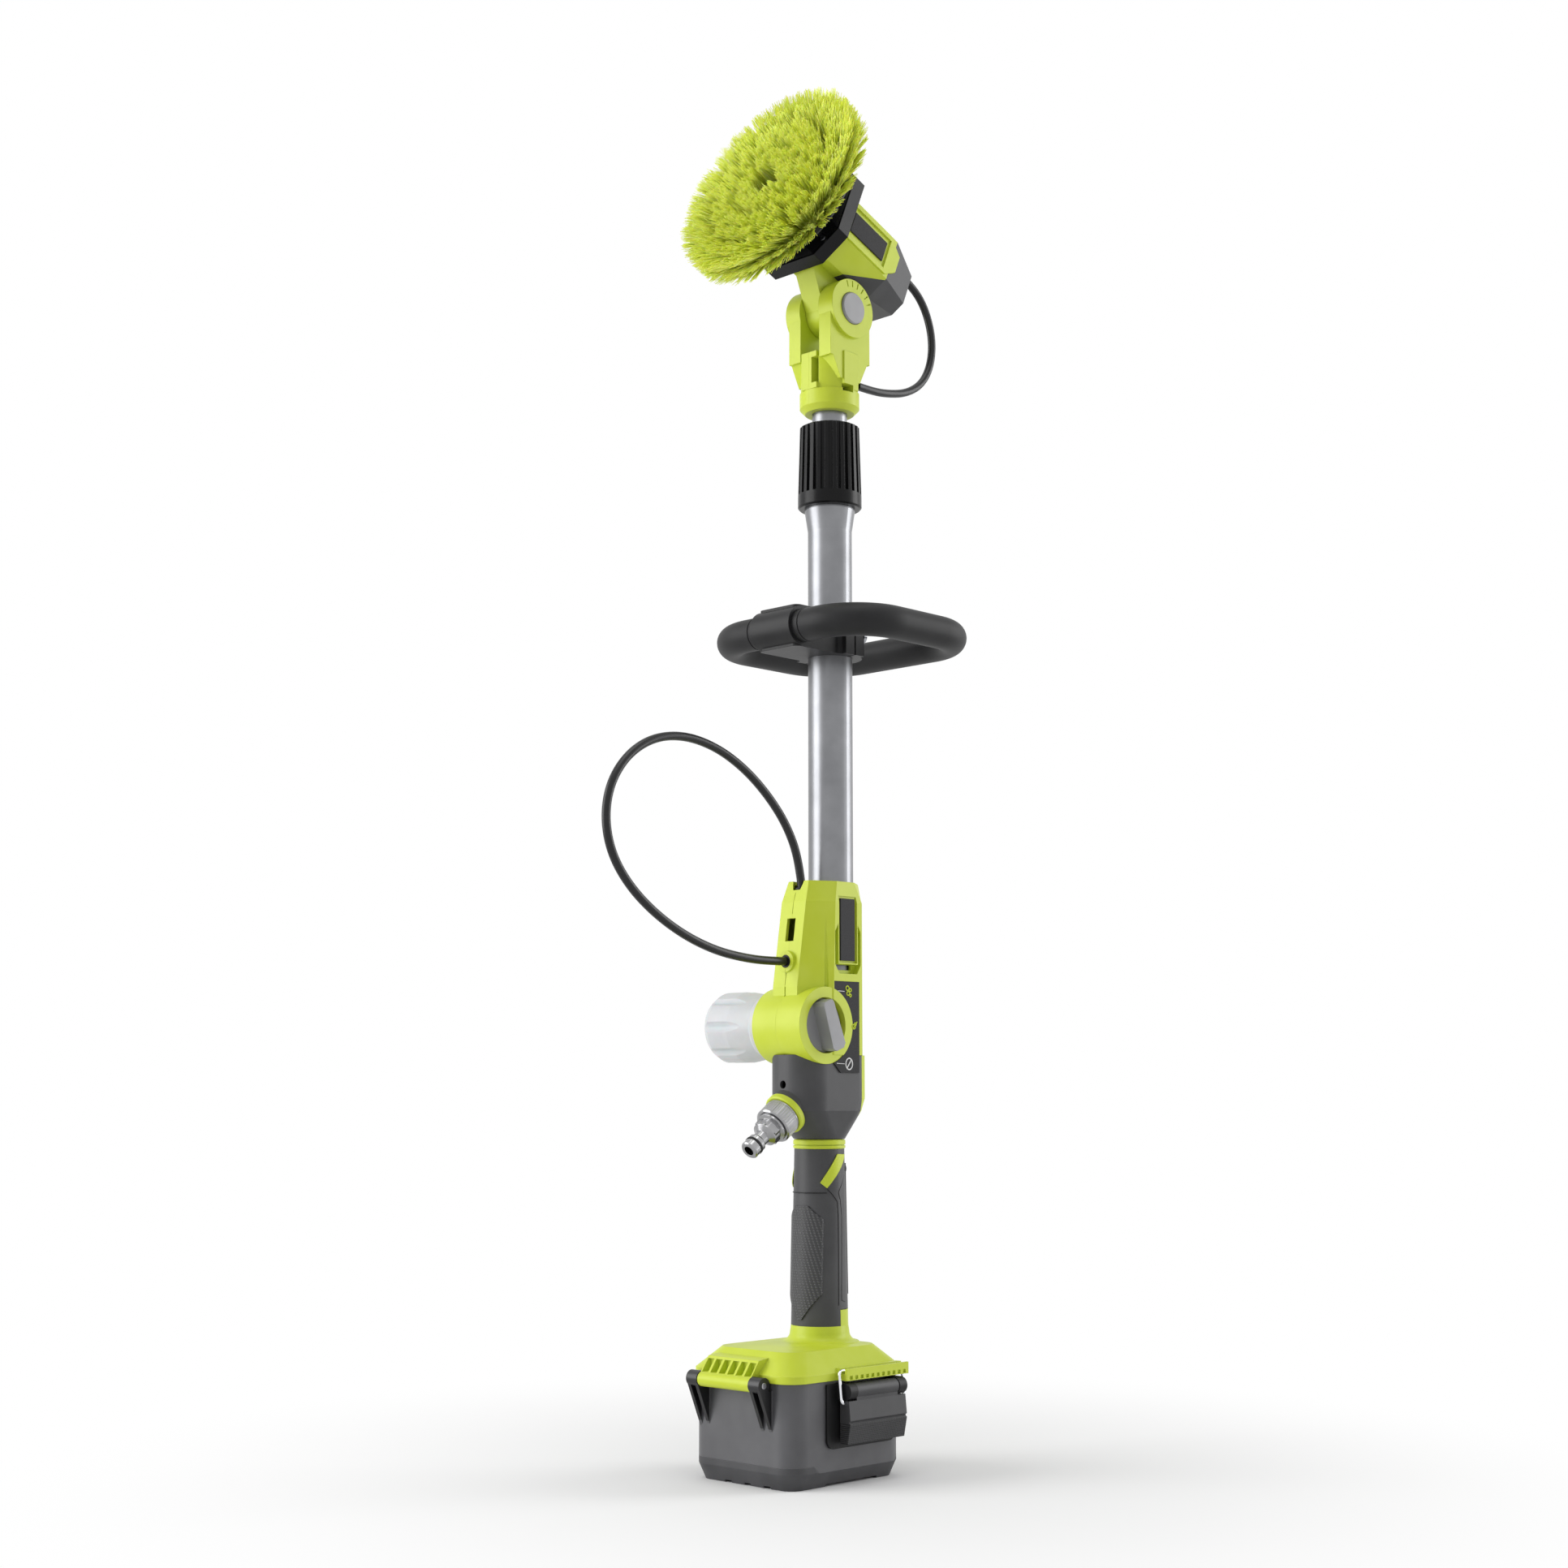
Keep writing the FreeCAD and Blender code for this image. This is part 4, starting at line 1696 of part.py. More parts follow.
def build_gear_cover():
    half, chamfer, nose = s.cover_half_width, s.cover_chamfer, s.cover_nose_radius
    front = s.head_front + s.cover_band
    outer = loft_between([head_eight(half, half, chamfer, s.head_front), head_eight(half, half, chamfer, front)])
    nose_form = loft_between([head_eight(half - s.head_panel_proud, half - s.head_panel_proud, chamfer, front),
                              head_eight(nose, nose, nose * 0.58, COVER_NOSE)])
    wall = s.cover_wall
    inner = loft_between([head_eight(half - wall, half - wall, chamfer, COVER_FLOOR),
                          head_eight(half - wall, half - wall, chamfer, front - wall / 2),
                          head_eight(nose - wall, nose - wall, nose * 0.5, COVER_NOSE - wall)])
    cover = outer.fuse(nose_form).cut(inner)
    seat = rod(s.bearing_radius + wall, s.bearing_width, (0, s.head_offset, COVER_NOSE - s.bearing_width))
    cover = cover.fuse(seat).cut(rod(s.bearing_radius, s.cover_nose * 2, (0, s.head_offset, COVER_NOSE - s.bearing_width)))
    cover = cover.cut(rod(s.spindle_radius + s.running_gap, wall * 2, (0, s.head_offset, s.head_front - wall / 2)))
    cover = cover.cut(rod(s.pinion_teeth * s.gear_module, wall * 2, (0, MOTOR_Y, s.head_front - wall / 2)))
    top = s.head_offset + s.head_half_height
    length, rib = s.vent_length, s.vent_rib_width
    spread = (s.head_half_width - s.head_chamfer) * 2
    tongue = box(-spread / 2, spread / 2, top, top + s.vent_rib_height / 2, s.head_front - length, s.head_front)
    for index in range(int(s.vent_count)):
        x = -spread / 2 + (spread - rib) * index / (s.vent_count - 1)
        tongue = tongue.fuse(box(x, x + rib, top, top + s.vent_rib_height, s.head_front - length + rib, s.head_front))
    cover = cover.fuse(tongue)
    screws = None
    for x, y in screw_places():
        cover = cover.cut(rod(s.screw_radius, s.screw_depth, (x, y, front - s.screw_radius / 2)))
        head = rod(s.screw_radius - s.running_gap, s.screw_radius, (x, y, front - s.screw_radius / 2))
        slot = box(x - s.screw_radius, x + s.screw_radius, y - s.seat_gap, y + s.seat_gap, front + s.screw_radius / 3,
                   front + s.screw_radius)
        head = head.cut(slot)
        screws = head if screws is None else screws.fuse(head)
    head_piece("gear_cover", largest(cover))
    head_piece("cover_screws", screws)
    bore = s.spindle_radius + s.running_gap
    bearing = turned("spindle_bearing", [
        (bore, 0), (s.bearing_radius, 0), (s.bearing_radius, s.bearing_width), (bore, s.bearing_width),
    ])
    at_brush(bearing, COVER_NOSE - s.bearing_width)


def screw_places():
    """The four screw towers in the corners of the gear cover."""
    reach = s.cover_half_width - s.cover_chamfer / 2 - s.screw_radius * 1.4
    return [(side * reach, s.head_offset + rise * reach) for side in (-1, 1) for rise in (-1, 1)]


def at_brush(body, along):
    """Seats a body on the brush axis, a distance along it from the pivot."""
    slope, rise = cosine(s.tilt_angle), sine(s.tilt_angle)
    y = slope * s.head_offset - rise * along
    z = s.pivot_height + rise * s.head_offset + slope * along
    place(body, (0, y, z), HEAD_TURN)


def toothed_wheel(teeth, bore, y, first):
    """A spur wheel with straight-sided teeth, the first one at a bearing in degrees."""
    module = s.gear_module
    pitch = module * teeth / 2
    root, tip = pitch - module * s.gear_root_share, pitch + module * s.gear_tip_share
    step = math.pi / teeth
    slack = s.gear_backlash / pitch / 2
    root_turn, tip_turn = step * s.gear_gullet_share - slack, step * s.gear_land_share - slack
    points = []
    for tooth in range(int(teeth)):
        middle = math.radians(first) + step * 2 * tooth
        for reach, turn in ((root, -root_turn), (tip, -tip_turn), (tip, tip_turn), (root, root_turn)):
            points.append((reach * math.cos(middle + turn), y + reach * math.sin(middle + turn), GEAR_START))
    wheel = prism(points, s.gear_width, AXIS_Z)
    return wheel.cut(rod(bore, s.gear_width, (0, y, GEAR_START))) if bore > 0 else wheel


def build_motor():
    radius, wall, length = s.motor_radius, s.motor_wall, s.motor_length
    start = s.head_front - length
    can = rod(radius, length, (0, MOTOR_Y, start)).cut(rod(radius - wall, length - wall * 2, (0, MOTOR_Y, start + wall)))
    can = can.cut(rod(s.shaft_radius + s.running_gap, length * 2, (0, MOTOR_Y, start - wall)))
    head_piece("motor_can", can)
    core = rod(s.rotor_radius, length - wall * 8, (0, MOTOR_Y, start + wall * 4))
    shaft = rod(s.shaft_radius, length + GEAR_END - s.head_front, (0, MOTOR_Y, start))
    pinion = toothed_wheel(s.pinion_teeth, 0, MOTOR_Y, 90 + 180 / s.pinion_teeth)
    head_piece("motor_rotor", core.fuse(shaft).fuse(pinion).removeSplitter())
    head_piece("drive_gear", toothed_wheel(s.gear_teeth, s.spindle_radius, s.head_offset, -90))


def build_brush():
    back, thick, radius = s.brush_plate_back, s.brush_plate_thickness, s.brush_plate_radius
    hub, tall, axle = s.brush_hub_radius, s.brush_hub_height, s.spindle_radius
    edge = thick / 3
    plate = turned("brush_plate", [
        (axle, 0), (hub, 0), (radius - edge, edge), (radius, edge * 2), (radius - edge / 2, thick), (hub, thick),
        (hub - edge, thick + tall), (axle, thick + tall),
    ])
    at_brush(plate, back)
    length = back + thick + tall - s.head_front
    spindle = turned("spindle", [
        (0, 0), (axle, 0), (axle, length), (axle + edge, length), (axle + edge, length + edge),
        (axle, length + edge * 1.5), (0, length + edge * 1.5),
    ])
    at_brush(spindle, s.head_front)
    face = s.bristle_face
    root = back + thick
    length = face - root
    outer = turned("outer_bristles", [
        (s.outer_row_inner, 0), (s.outer_row_outer, 0), (s.brush_radius - s.row_splay / 2, length - s.row_splay * 2),
        (s.brush_radius, length - s.row_splay * 1.4), (s.brush_radius - s.row_splay, length - s.row_splay / 3),
        (s.outer_tip_inner, length),
    ])
    at_brush(outer, root)
    rows = turned("inner_bristles", *[[
        (inner, 0), (outer_edge, 0), (outer_edge + s.row_splay, length - s.row_splay), (outer_edge + s.row_splay / 2, length),
        (inner - s.row_splay / 2, length), (inner - s.row_splay / 2, length - s.row_splay),
    ] for inner, outer_edge in ((s.middle_row_inner, s.middle_row_outer), (s.inner_row_inner, s.inner_row_outer))])
    at_brush(rows, root)


# Second handle and its clamp on the outer tube

def loop_spine(z):
    """The closed centre line of the loop: a rectangle with round corners."""
    half, front, back, corner = s.loop_half_width, s.loop_front, s.loop_back, s.loop_corner
    return smooth_block(half, front, back, corner, corner, z)


def build_loop():
    z, bar = LOOP_HEIGHT, s.loop_bar_radius
    spine = loop_spine(z)
    start = spine.Edges[0].Vertexes[0].Point
    direction = spine.Edges[0].tangentAt(spine.Edges[0].FirstParameter)
    section = Part.Wire(Part.Circle(start, direction, bar).toShape())
    ring = spine.makePipeShell([section], True, False)
    gap = s.loop_arm_gap / 2
    groove = ring_of(bar + s.seat_gap, bar - s.seam_depth, s.seam_half_width * 2, (gap, -s.loop_front, z), AXIS_X)
    other = ring_of(bar + s.seat_gap, bar - s.seam_depth, s.seam_half_width * 2, (-gap, -s.loop_front, z), AXIS_X)
    solid_piece("loop_handle", ring.cut(groove).cut(other))
    half_arm, half_high, split = s.clamp_arm_width / 2, s.clamp_height / 2, s.clamp_split / 2
    tube = rod(s.outer_tube_radius + s.running_gap, s.box_width, (0, 0, z - HALF_BOX))
    bar_rod = rod(bar, s.box_width, (-HALF_BOX, -s.loop_front, z), AXIS_X)
    reach = s.loop_front + bar / 2
    bridge = rounded_block(-half_arm, half_arm, -reach, -split, z - half_high, z + half_high, s.clamp_ear_width / 2)
    sleeve = rod(bar + s.clamp_split * 2, half_arm * 2, (-half_arm, -s.loop_front, z), AXIS_X)
    half_ring = rod(s.clamp_radius, half_high * 2, (0, 0, z - half_high))
    far = half_ring.common(box(-s.box_width, s.box_width, split, s.box_width, z - half_high, z + half_high))
    near = half_ring.common(box(-s.box_width, s.box_width, -s.box_width, -split, z - half_high, z + half_high))
    ears_near, ears_far = None, None
    bolts = None
    half_space = s.clamp_bolt_spacing / 2
    for side in (-1, 1):
        x = side * half_space
        x0, x1 = x - s.clamp_ear_width / 2, x + s.clamp_ear_width / 2
        ear = box(x0, x1, -s.clamp_ear_width, -split, z - half_high, z + half_high)
        near = near.fuse(ear)
        ear = box(x0, x1, split, s.clamp_ear_width, z - half_high, z + half_high)
        far = far.fuse(ear)
        bolt = rod(s.clamp_bolt_radius, s.clamp_ear_width * 2, (x, -s.clamp_ear_width, z), AXIS_Y)
        bolt = bolt.fuse(rod(s.clamp_knob_radius, s.clamp_bolt_radius, (x, s.clamp_ear_width, z), AXIS_Y))
        bolts = bolt if bolts is None else bolts.fuse(bolt)
    near = near.fuse(bridge).fuse(sleeve).cut(tube).cut(bar_rod).cut(bolts)
    far = far.cut(tube).cut(bolts)
    solid_piece("clamp_front", largest(near))
    solid_piece("clamp_back", largest(far))
    solid_piece("clamp_bolts", bolts)


# Cables and their grommets; the routes are chosen by hand

LOOP_CABLE = [
    (0, -28.2, 375.6), (0, -31.0, 394.5), (0, -42.0, 415.5), (0, -59.0, 433.5), (0, -81.0, 449.5), (0, -107.0, 461.0),
    (0, -135.0, 465.5), (0, -161.0, 461.5), (0, -182.5, 449.0), (0, -197.0, 430.0), (0, -201.5, 408.0),
    (0, -196.0, 386.0), (0, -181.0, 367.0), (0, -159.0, 351.0), (0, -133.0, 338.5), (0, -106.0, 330.5),
    (0, -81.0, 327.2), (0, -61.0, 326.2), (0, -43.6, 326.6),
]
HEAD_CABLE = [
    (9.0, 68.5, 817.52), (9.0, 80.5, 812.55), (10.2, 91.5, 798.5), (11.0, 97.0, 779.0), (11.0, 95.0, 759.5),
    (11.0, 85.0, 743.0), (11.0, 68.0, 732.5), (11.2, 48.0, 727.5), (11.6, 31.0, 725.5), (12.0, 15.6, 725.5),
]


def build_cables():
    solid_piece("loop_cable", cable_along(LOOP_CABLE, s.cable_radius))
    solid_piece("head_cable", cable_along(HEAD_CABLE, s.cable_radius))
    radius, bore = s.grommet_radius, s.cable_radius + s.running_gap
    length = s.grommet_width + s.grommet_proud
    front = ring_of(radius, bore, length, (0, -CABLE_FRONT, s.cable_boss_height), AXIS_Y)
    top = ring_of(radius, bore, length, (0, -CABLE_TOP_Y, CABLE_TOP_Z + s.grommet_proud - length))
    solid_piece("cable_grommets", front.fuse(top))


build_inlet()
build_tubes()
build_lock()
build_neck()
build_pivot()
build_head_shells()
build_lug()
build_gear_cover()
build_motor()
build_brush()
build_loop()
build_cables()


# Checks on every object, then one file for each piece

doc.recompute()
for item in doc.Objects:
    if "Invalid" in item.State or "Error" in item.State:
        raise SystemExit("%s failed to build: %s" % (item.Label, item.State))
for piece in pieces:
    if piece.Shape.isNull() or not piece.Shape.isValid():
        raise SystemExit("%s has no valid shape" % piece.Label)
for piece in pieces:
    piece.Shape.exportStep("parts/%s.step" % piece.Label)
print("%d pieces written" % len(pieces))
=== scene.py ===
# %% [markdown]
# # A cordless telescopic scrubber, dressed for the camera
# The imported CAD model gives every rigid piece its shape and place. This lesson adds what CAD can't: the
# camera and the light, the two soft cables, thousands of nylon bristles, small trim and signs, and a surface
# for each material. Lengths are in metres, in the frame of the CAD model, so a piece goes where the CAD says.

import math

import bpy
import numpy as np
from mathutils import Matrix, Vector


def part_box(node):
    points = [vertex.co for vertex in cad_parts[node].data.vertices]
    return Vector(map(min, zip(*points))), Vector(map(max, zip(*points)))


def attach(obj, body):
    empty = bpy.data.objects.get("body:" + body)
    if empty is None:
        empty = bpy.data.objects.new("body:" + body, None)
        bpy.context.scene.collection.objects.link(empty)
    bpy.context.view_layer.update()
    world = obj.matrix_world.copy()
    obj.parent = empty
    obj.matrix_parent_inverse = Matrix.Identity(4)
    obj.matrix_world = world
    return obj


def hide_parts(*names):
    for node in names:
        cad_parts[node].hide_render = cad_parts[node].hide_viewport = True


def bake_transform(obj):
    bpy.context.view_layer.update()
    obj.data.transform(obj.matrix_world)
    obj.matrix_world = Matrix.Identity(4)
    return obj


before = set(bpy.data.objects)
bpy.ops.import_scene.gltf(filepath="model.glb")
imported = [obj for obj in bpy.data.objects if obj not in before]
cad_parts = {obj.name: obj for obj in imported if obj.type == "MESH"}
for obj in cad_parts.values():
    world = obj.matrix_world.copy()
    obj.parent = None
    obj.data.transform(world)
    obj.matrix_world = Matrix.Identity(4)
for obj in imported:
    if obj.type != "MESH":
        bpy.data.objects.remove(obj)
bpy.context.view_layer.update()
MM = 0.001

# %% [markdown]
# ## Camera
# The photograph looks at the tool from its front right, with the lens a little above the battery box and
# tipped up. The distance and the lens were fitted to the level edges of the box, to the tube's sides and to
# the brush's outline. The place, the turn and the lens are written down as numbers.

# %% Put the camera where the photographer stood
CAMERA_PLACE = (1.034, -1.109, 0.240)
CAMERA_TURN = (97.8, 0.0, 44.18)
lens = bpy.data.cameras.new("photo_lens")
lens.lens = 52.17
lens.sensor_width = 36.0
camera = bpy.data.objects.new("photo_camera", lens)
camera.location = CAMERA_PLACE
camera.rotation_euler = [math.radians(angle) for angle in CAMERA_TURN]
bpy.context.scene.collection.objects.link(camera)
bpy.context.scene.camera = camera
print("camera looks from", CAMERA_PLACE)

# %% [markdown]
# ## The two free cables
# A cable is a round rubber-like cord that takes smooth curves. A NURBS spline does the same: it is pulled
# towards its control points and never kinks. The points are the route of the CAD cable. The order is set
# after the points are there, because a new spline would otherwise stay at straight runs. The cord is then
# made a mesh tube.

# %% Draw a cord through its route
CABLE_RADIUS = 2.8 * MM

LOOP_ROUTE = [(0, -28.2, 375.6), (0, -31.0, 394.5), (0, -42.0, 415.5), (0, -59.0, 433.5),
              (0, -81.0, 449.5), (0, -107.0, 461.0), (0, -135.0, 465.5), (0, -161.0, 461.5),
              (0, -182.5, 449.0), (0, -197.0, 430.0), (0, -201.5, 408.0), (0, -196.0, 386.0),
              (0, -181.0, 367.0), (0, -159.0, 351.0), (0, -133.0, 338.5), (0, -106.0, 330.5),
              (0, -81.0, 327.2), (0, -61.0, 326.2), (0, -43.6, 326.6)]
HEAD_ROUTE = [(9.0, 68.5, 817.52), (9.0, 80.5, 812.55), (10.2, 91.5, 798.5), (11.0, 97.0, 779.0),
              (11.0, 95.0, 759.5), (11.0, 85.0, 743.0), (11.0, 68.0, 732.5), (11.2, 48.0, 727.5),
              (11.6, 31.0, 725.5), (12.0, 15.6, 725.5)]


def draw_cord(name, route, radius):
    line = bpy.data.curves.new(name, "CURVE")
    line.dimensions = "3D"
    line.bevel_depth = radius
    line.bevel_resolution = 5
    line.use_fill_caps = True
    spline = line.splines.new("NURBS")
    spline.points.add(len(route) - 1)
    for point, place in zip(spline.points, route):
        point.co = (place[0] * MM, place[1] * MM, place[2] * MM, 1.0)
    spline.order_u = 3
    spline.use_endpoint_u = True
    spline.resolution_u = 12
    cord = bpy.data.objects.new(name, line)
    bpy.context.scene.collection.objects.link(cord)
    return cord


def mesh_cord(name, route, radius):
    cord = draw_cord(name, route, radius)
    bpy.ops.object.select_all(action="DESELECT")
    cord.select_set(True)
    bpy.context.view_layer.objects.active = cord
    bpy.ops.object.convert(target="MESH")
    return bpy.context.view_layer.objects.active


def length_of(points):
    return sum((b - a).length for a, b in zip(points, points[1:]))


def centreline(name, route):
    bare = draw_cord(name, route, 0.0)
    bpy.context.view_layer.update()
    mesh = bpy.data.meshes.new_from_object(bare)
    points = [vertex.co.copy() for vertex in mesh.vertices]
    bpy.data.objects.remove(bare)
    return points


# %% The loop at the housing
# It leaves the housing's top, hangs out in an open loop and goes back in at the front, so both ends are in
# the object.
loop_line = centreline("loop_line", LOOP_ROUTE)
loop_jacket = mesh_cord("loop_cable_jacket", LOOP_ROUTE, CABLE_RADIUS)
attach(loop_jacket, "frame")
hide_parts("loop_cable")
print("loop cable, metres:", round(length_of(loop_line), 4))

# %% The cable from the head to the neck
# The head tilts on the neck. This cable's points run from the neck at one end to the head at the other
# and turn smoothly between them. It rides on no body.
head_line = centreline("head_line", HEAD_ROUTE)
head_jacket = mesh_cord("head_cable_jacket", HEAD_ROUTE, CABLE_RADIUS)
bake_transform(head_jacket)
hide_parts("head_cable")
print("head cable, metres:", round(length_of(head_line), 4))

# %% [markdown]
# ## Colours and nodes
# A maker names a colour as it looks, such as #C3D233. A shader works in linear light, so one function turns
# the one into the other. A second one adds a node with its settings and wires, which keeps each material
# short to read.

# %% Helpers for every material


def srgb(text):
    parts = [int(text[start:start + 2], 16) / 255 for start in (1, 3, 5)]
    linear = [part / 12.92 if part <= 0.04045 else ((part + 0.055) / 1.055) ** 2.4 for part in parts]
    return (*linear, 1.0)


def add_node(tree, kind, values=None, wires=None, **options):
    made = tree.nodes.new("ShaderNode" + kind)
    for option, value in options.items():
        setattr(made, option, value)
    for socket, value in (values or {}).items():
        made.inputs[socket].default_value = value
    for socket, source in (wires or {}).items():
        tree.links.new(source, made.inputs[socket])
    return made


def start_material(name, **constants):
    material = bpy.data.materials.new(name)
    material.use_nodes = True
    shader = material.node_tree.nodes["Principled BSDF"]
    for socket, value in constants.items():
        shader.inputs[socket.replace("_", " ")].default_value = value
    return material, material.node_tree, shader


MIX_A, MIX_B, MIX_OUT = 6, 7, 2  # the colour sockets of a Mix node, which share their names with others


def wire_surface(tree, shader, shade, gloss, relief=None):
    tree.links.new(shade.outputs[MIX_OUT], shader.inputs["Base Color"])
    tree.links.new(gloss.outputs["Result"], shader.inputs["Roughness"])
    if relief:
        tree.links.new(relief.outputs["Normal"], shader.inputs["Normal"])


# %% [markdown]
# ## Moulded plastic and rubber
# Most of the tool is injection moulded. A moulded face isn't a flat colour: the tool steel leaves a fine
# grain, the colour drifts a little where the melt flowed, the gloss is uneven, and every edge has a small
# radius that catches a line of light. CAD edges are sharp, so a Bevel node rounds them in the shading only.
# The same node says where the edges are, and there the colour is painted a little paler: a painted highlight.

# %% A recipe for moulded surfaces
FLOW_MM = 22  # how far the colour of the melt stays alike
FLOW_SHARE = 0.3  # how much of the paler colour the flow brings in
FLAT, ROUNDED = 0.995, 0.85  # how well a true and a rounded normal agree on a face and at an edge


def moulded(name, colour, pale, roughness, grain_mm, grain_depth_mm, edge_mm=0.45, painted_edge_highlight=0.3, **constants):
    material, tree, shader = start_material(name, **constants)
    place = add_node(tree, "TexCoord").outputs["Object"]
    drift = add_node(tree, "TexNoise", {"Scale": 1 / (FLOW_MM * MM), "Detail": 2.0}, {"Vector": place})
    grain = add_node(tree, "TexNoise", {"Scale": 1 / (grain_mm * MM), "Detail": 3.0}, {"Vector": place})
    gloss = add_node(tree, "MapRange", {"To Min": roughness - 0.06, "To Max": roughness + 0.06},
                     {"Value": drift.outputs["Fac"]})
    round_edge = add_node(tree, "Bevel", {"Radius": edge_mm * MM}, samples=4)
    flat = add_node(tree, "NewGeometry").outputs["Normal"]
    facing = add_node(tree, "VectorMath", None, {0: round_edge.outputs["Normal"], 1: flat},
                      operation="DOT_PRODUCT")
    # Where the rounded normal turns away from the true one, the colour is painted paler: a painted edge highlight.
    edge = add_node(tree, "MapRange", {"From Min": FLAT, "From Max": ROUNDED, "To Max": painted_edge_highlight},
                    {"Value": facing.outputs["Value"]})
    flow = add_node(tree, "MapRange", {"From Min": 0.35, "From Max": 0.65, "To Max": FLOW_SHARE},
                    {"Value": drift.outputs["Fac"]})
    amount = add_node(tree, "Math", None, {0: flow.outputs["Result"], 1: edge.outputs["Result"]},
                      operation="ADD", use_clamp=True)
    shade = add_node(tree, "Mix", {MIX_A: srgb(colour), MIX_B: srgb(pale)},
                     {"Factor": amount.outputs["Value"]}, data_type="RGBA")
    bump = add_node(tree, "Bump", {"Strength": 0.5, "Distance": grain_depth_mm * MM},
                    {"Height": grain.outputs["Fac"], "Normal": round_edge.outputs["Normal"]})
    wire_surface(tree, shader, shade, gloss, bump)
    return material


# ABS is glossy and even; the lime shells have a fine satin grain of about 0.3 mm that only softens the shine.
lime_abs = moulded("lime_abs_satin_moulded", "#C3D232", "#D2DE5C", 0.4, 0.35, 0.02, Specular_IOR_Level=0.35)
# Glass-filled nylon is grey, dull and slightly speckled, because short fibres lie at the surface.
grey_nylon = moulded("dark_grey_glass_filled_nylon", "#3E3E40", "#565658", 0.45, 0.5, 0.04,
                     Specular_IOR_Level=0.35)
# The tub's nylon is a lighter copy of the dark grey nylon: the lighter colour is a painted sheen on its face.
tub_nylon_painted_sheen_and_shade = moulded("grey_nylon_tub_painted_sheen_and_lug_shade", "#4F4F52", "#68686B", 0.38, 0.5, 0.04)
lever_nylon = moulded("dark_nylon_lever_with_grip_strip", "#3A3A3C", "#525254", 0.45, 0.5, 0.04,
                      Specular_IOR_Level=0.35)
mid_grey_nylon = moulded("mid_grey_nylon_moulded", "#8D8D90", "#B2B2B5", 0.42, 0.4, 0.02)
# Black nylon for the latch, the plate and the inside pieces: nearly black, with a painted highlight on the edges.
black_nylon = moulded("black_nylon_moulded", "#151516", "#2C2C2E", 0.45, 0.5, 0.03, Specular_IOR_Level=0.25)
# The gear cover and the collar were moulded in a polished tool, so they mirror the lamps.
gloss_black_abs = moulded("black_abs_polished_tool", "#0A0A0B", "#17181A", 0.28, 1.2, 0.01, edge_mm=0.6,
                          Specular_IOR_Level=0.18)
# Thermoplastic rubber scatters light in its skin, so its highlights are wide and soft.
soft_rubber = moulded("black_thermoplastic_rubber", "#1A1A1B", "#2E2E30", 0.52, 0.4, 0.03, edge_mm=0.8,
                      Specular_IOR_Level=0.25)
boot_rubber = moulded("grey_moulded_rubber_boot", "#444446", "#626265", 0.55, 0.5, 0.05, edge_mm=0.9,
                      Specular_IOR_Level=0.3)
white_acetal = moulded("white_acetal_turned", "#DDDBD4", "#EEECE6", 0.35, 0.8, 0.01)
print("moulded materials:", len(bpy.data.materials))

# %% [markdown]
# The tub's hinge lugs and fins stand in front of its face and are painted nearly black: painted shade on
# the grey tub. The lever's lower half has a strip of small sunk diamonds for the finger, painted dark as
# painted shade in the pits. Both are parts of one moulding, so its material is changed by place: black in
# front of a plane, diamonds under a height.

# %% Painted shade: black lugs, and dark sunk diamonds on the lever
TUB_FACE_Y = -85.2 * MM
STRIP_TOP_Z = 38.6 * MM
DIAMOND_MM = 2.3


def colour_source(material):
    tree = material.node_tree
    shader = tree.nodes["Principled BSDF"]
    return tree, shader, shader.inputs["Base Color"].links[0].from_socket


tree, shader, plain = colour_source(tub_nylon_painted_sheen_and_shade)
place = add_node(tree, "SeparateXYZ", None, {"Vector": add_node(tree, "TexCoord").outputs["Object"]})
# Everything in front of the tub's face is painted near-black: painted shade on the lugs and fins.
lug_painted_shade = add_node(tree, "Math", {1: TUB_FACE_Y}, {0: place.outputs["Y"]}, operation="LESS_THAN")
shade = add_node(tree, "Mix", {MIX_B: srgb("#121214")}, {"Factor": lug_painted_shade.outputs["Value"], MIX_A: plain},
                 data_type="RGBA")
tree.links.new(shade.outputs[MIX_OUT], shader.inputs["Base Color"])

tree, shader, plain = colour_source(lever_nylon)
place = add_node(tree, "SeparateXYZ", None, {"Vector": add_node(tree, "TexCoord").outputs["Object"]})
waves = []
for side in ("ADD", "SUBTRACT"):
    lean = add_node(tree, "Math", None, {0: place.outputs["Y"], 1: place.outputs["Z"]}, operation=side)
    turns = add_node(tree, "Math", {1: 2 * math.pi / (DIAMOND_MM * MM)}, {0: lean.outputs["Value"]},
                     operation="MULTIPLY")
    waves.append(add_node(tree, "Math", None, {0: turns.outputs["Value"]}, operation="SINE"))
crossed = add_node(tree, "Math", None, {0: waves[0].outputs["Value"], 1: waves[1].outputs["Value"]},
                   operation="MULTIPLY")
low = add_node(tree, "Math", {1: STRIP_TOP_Z}, {0: place.outputs["Z"]}, operation="LESS_THAN")
diamond = add_node(tree, "MapRange", {"From Min": 0.1, "From Max": 0.5}, {"Value": crossed.outputs["Value"]},
                   interpolation_type="SMOOTHSTEP")
pit_and_painted_shade = add_node(tree, "Math", None, {0: diamond.outputs["Result"], 1: low.outputs["Value"]},
               operation="MULTIPLY")
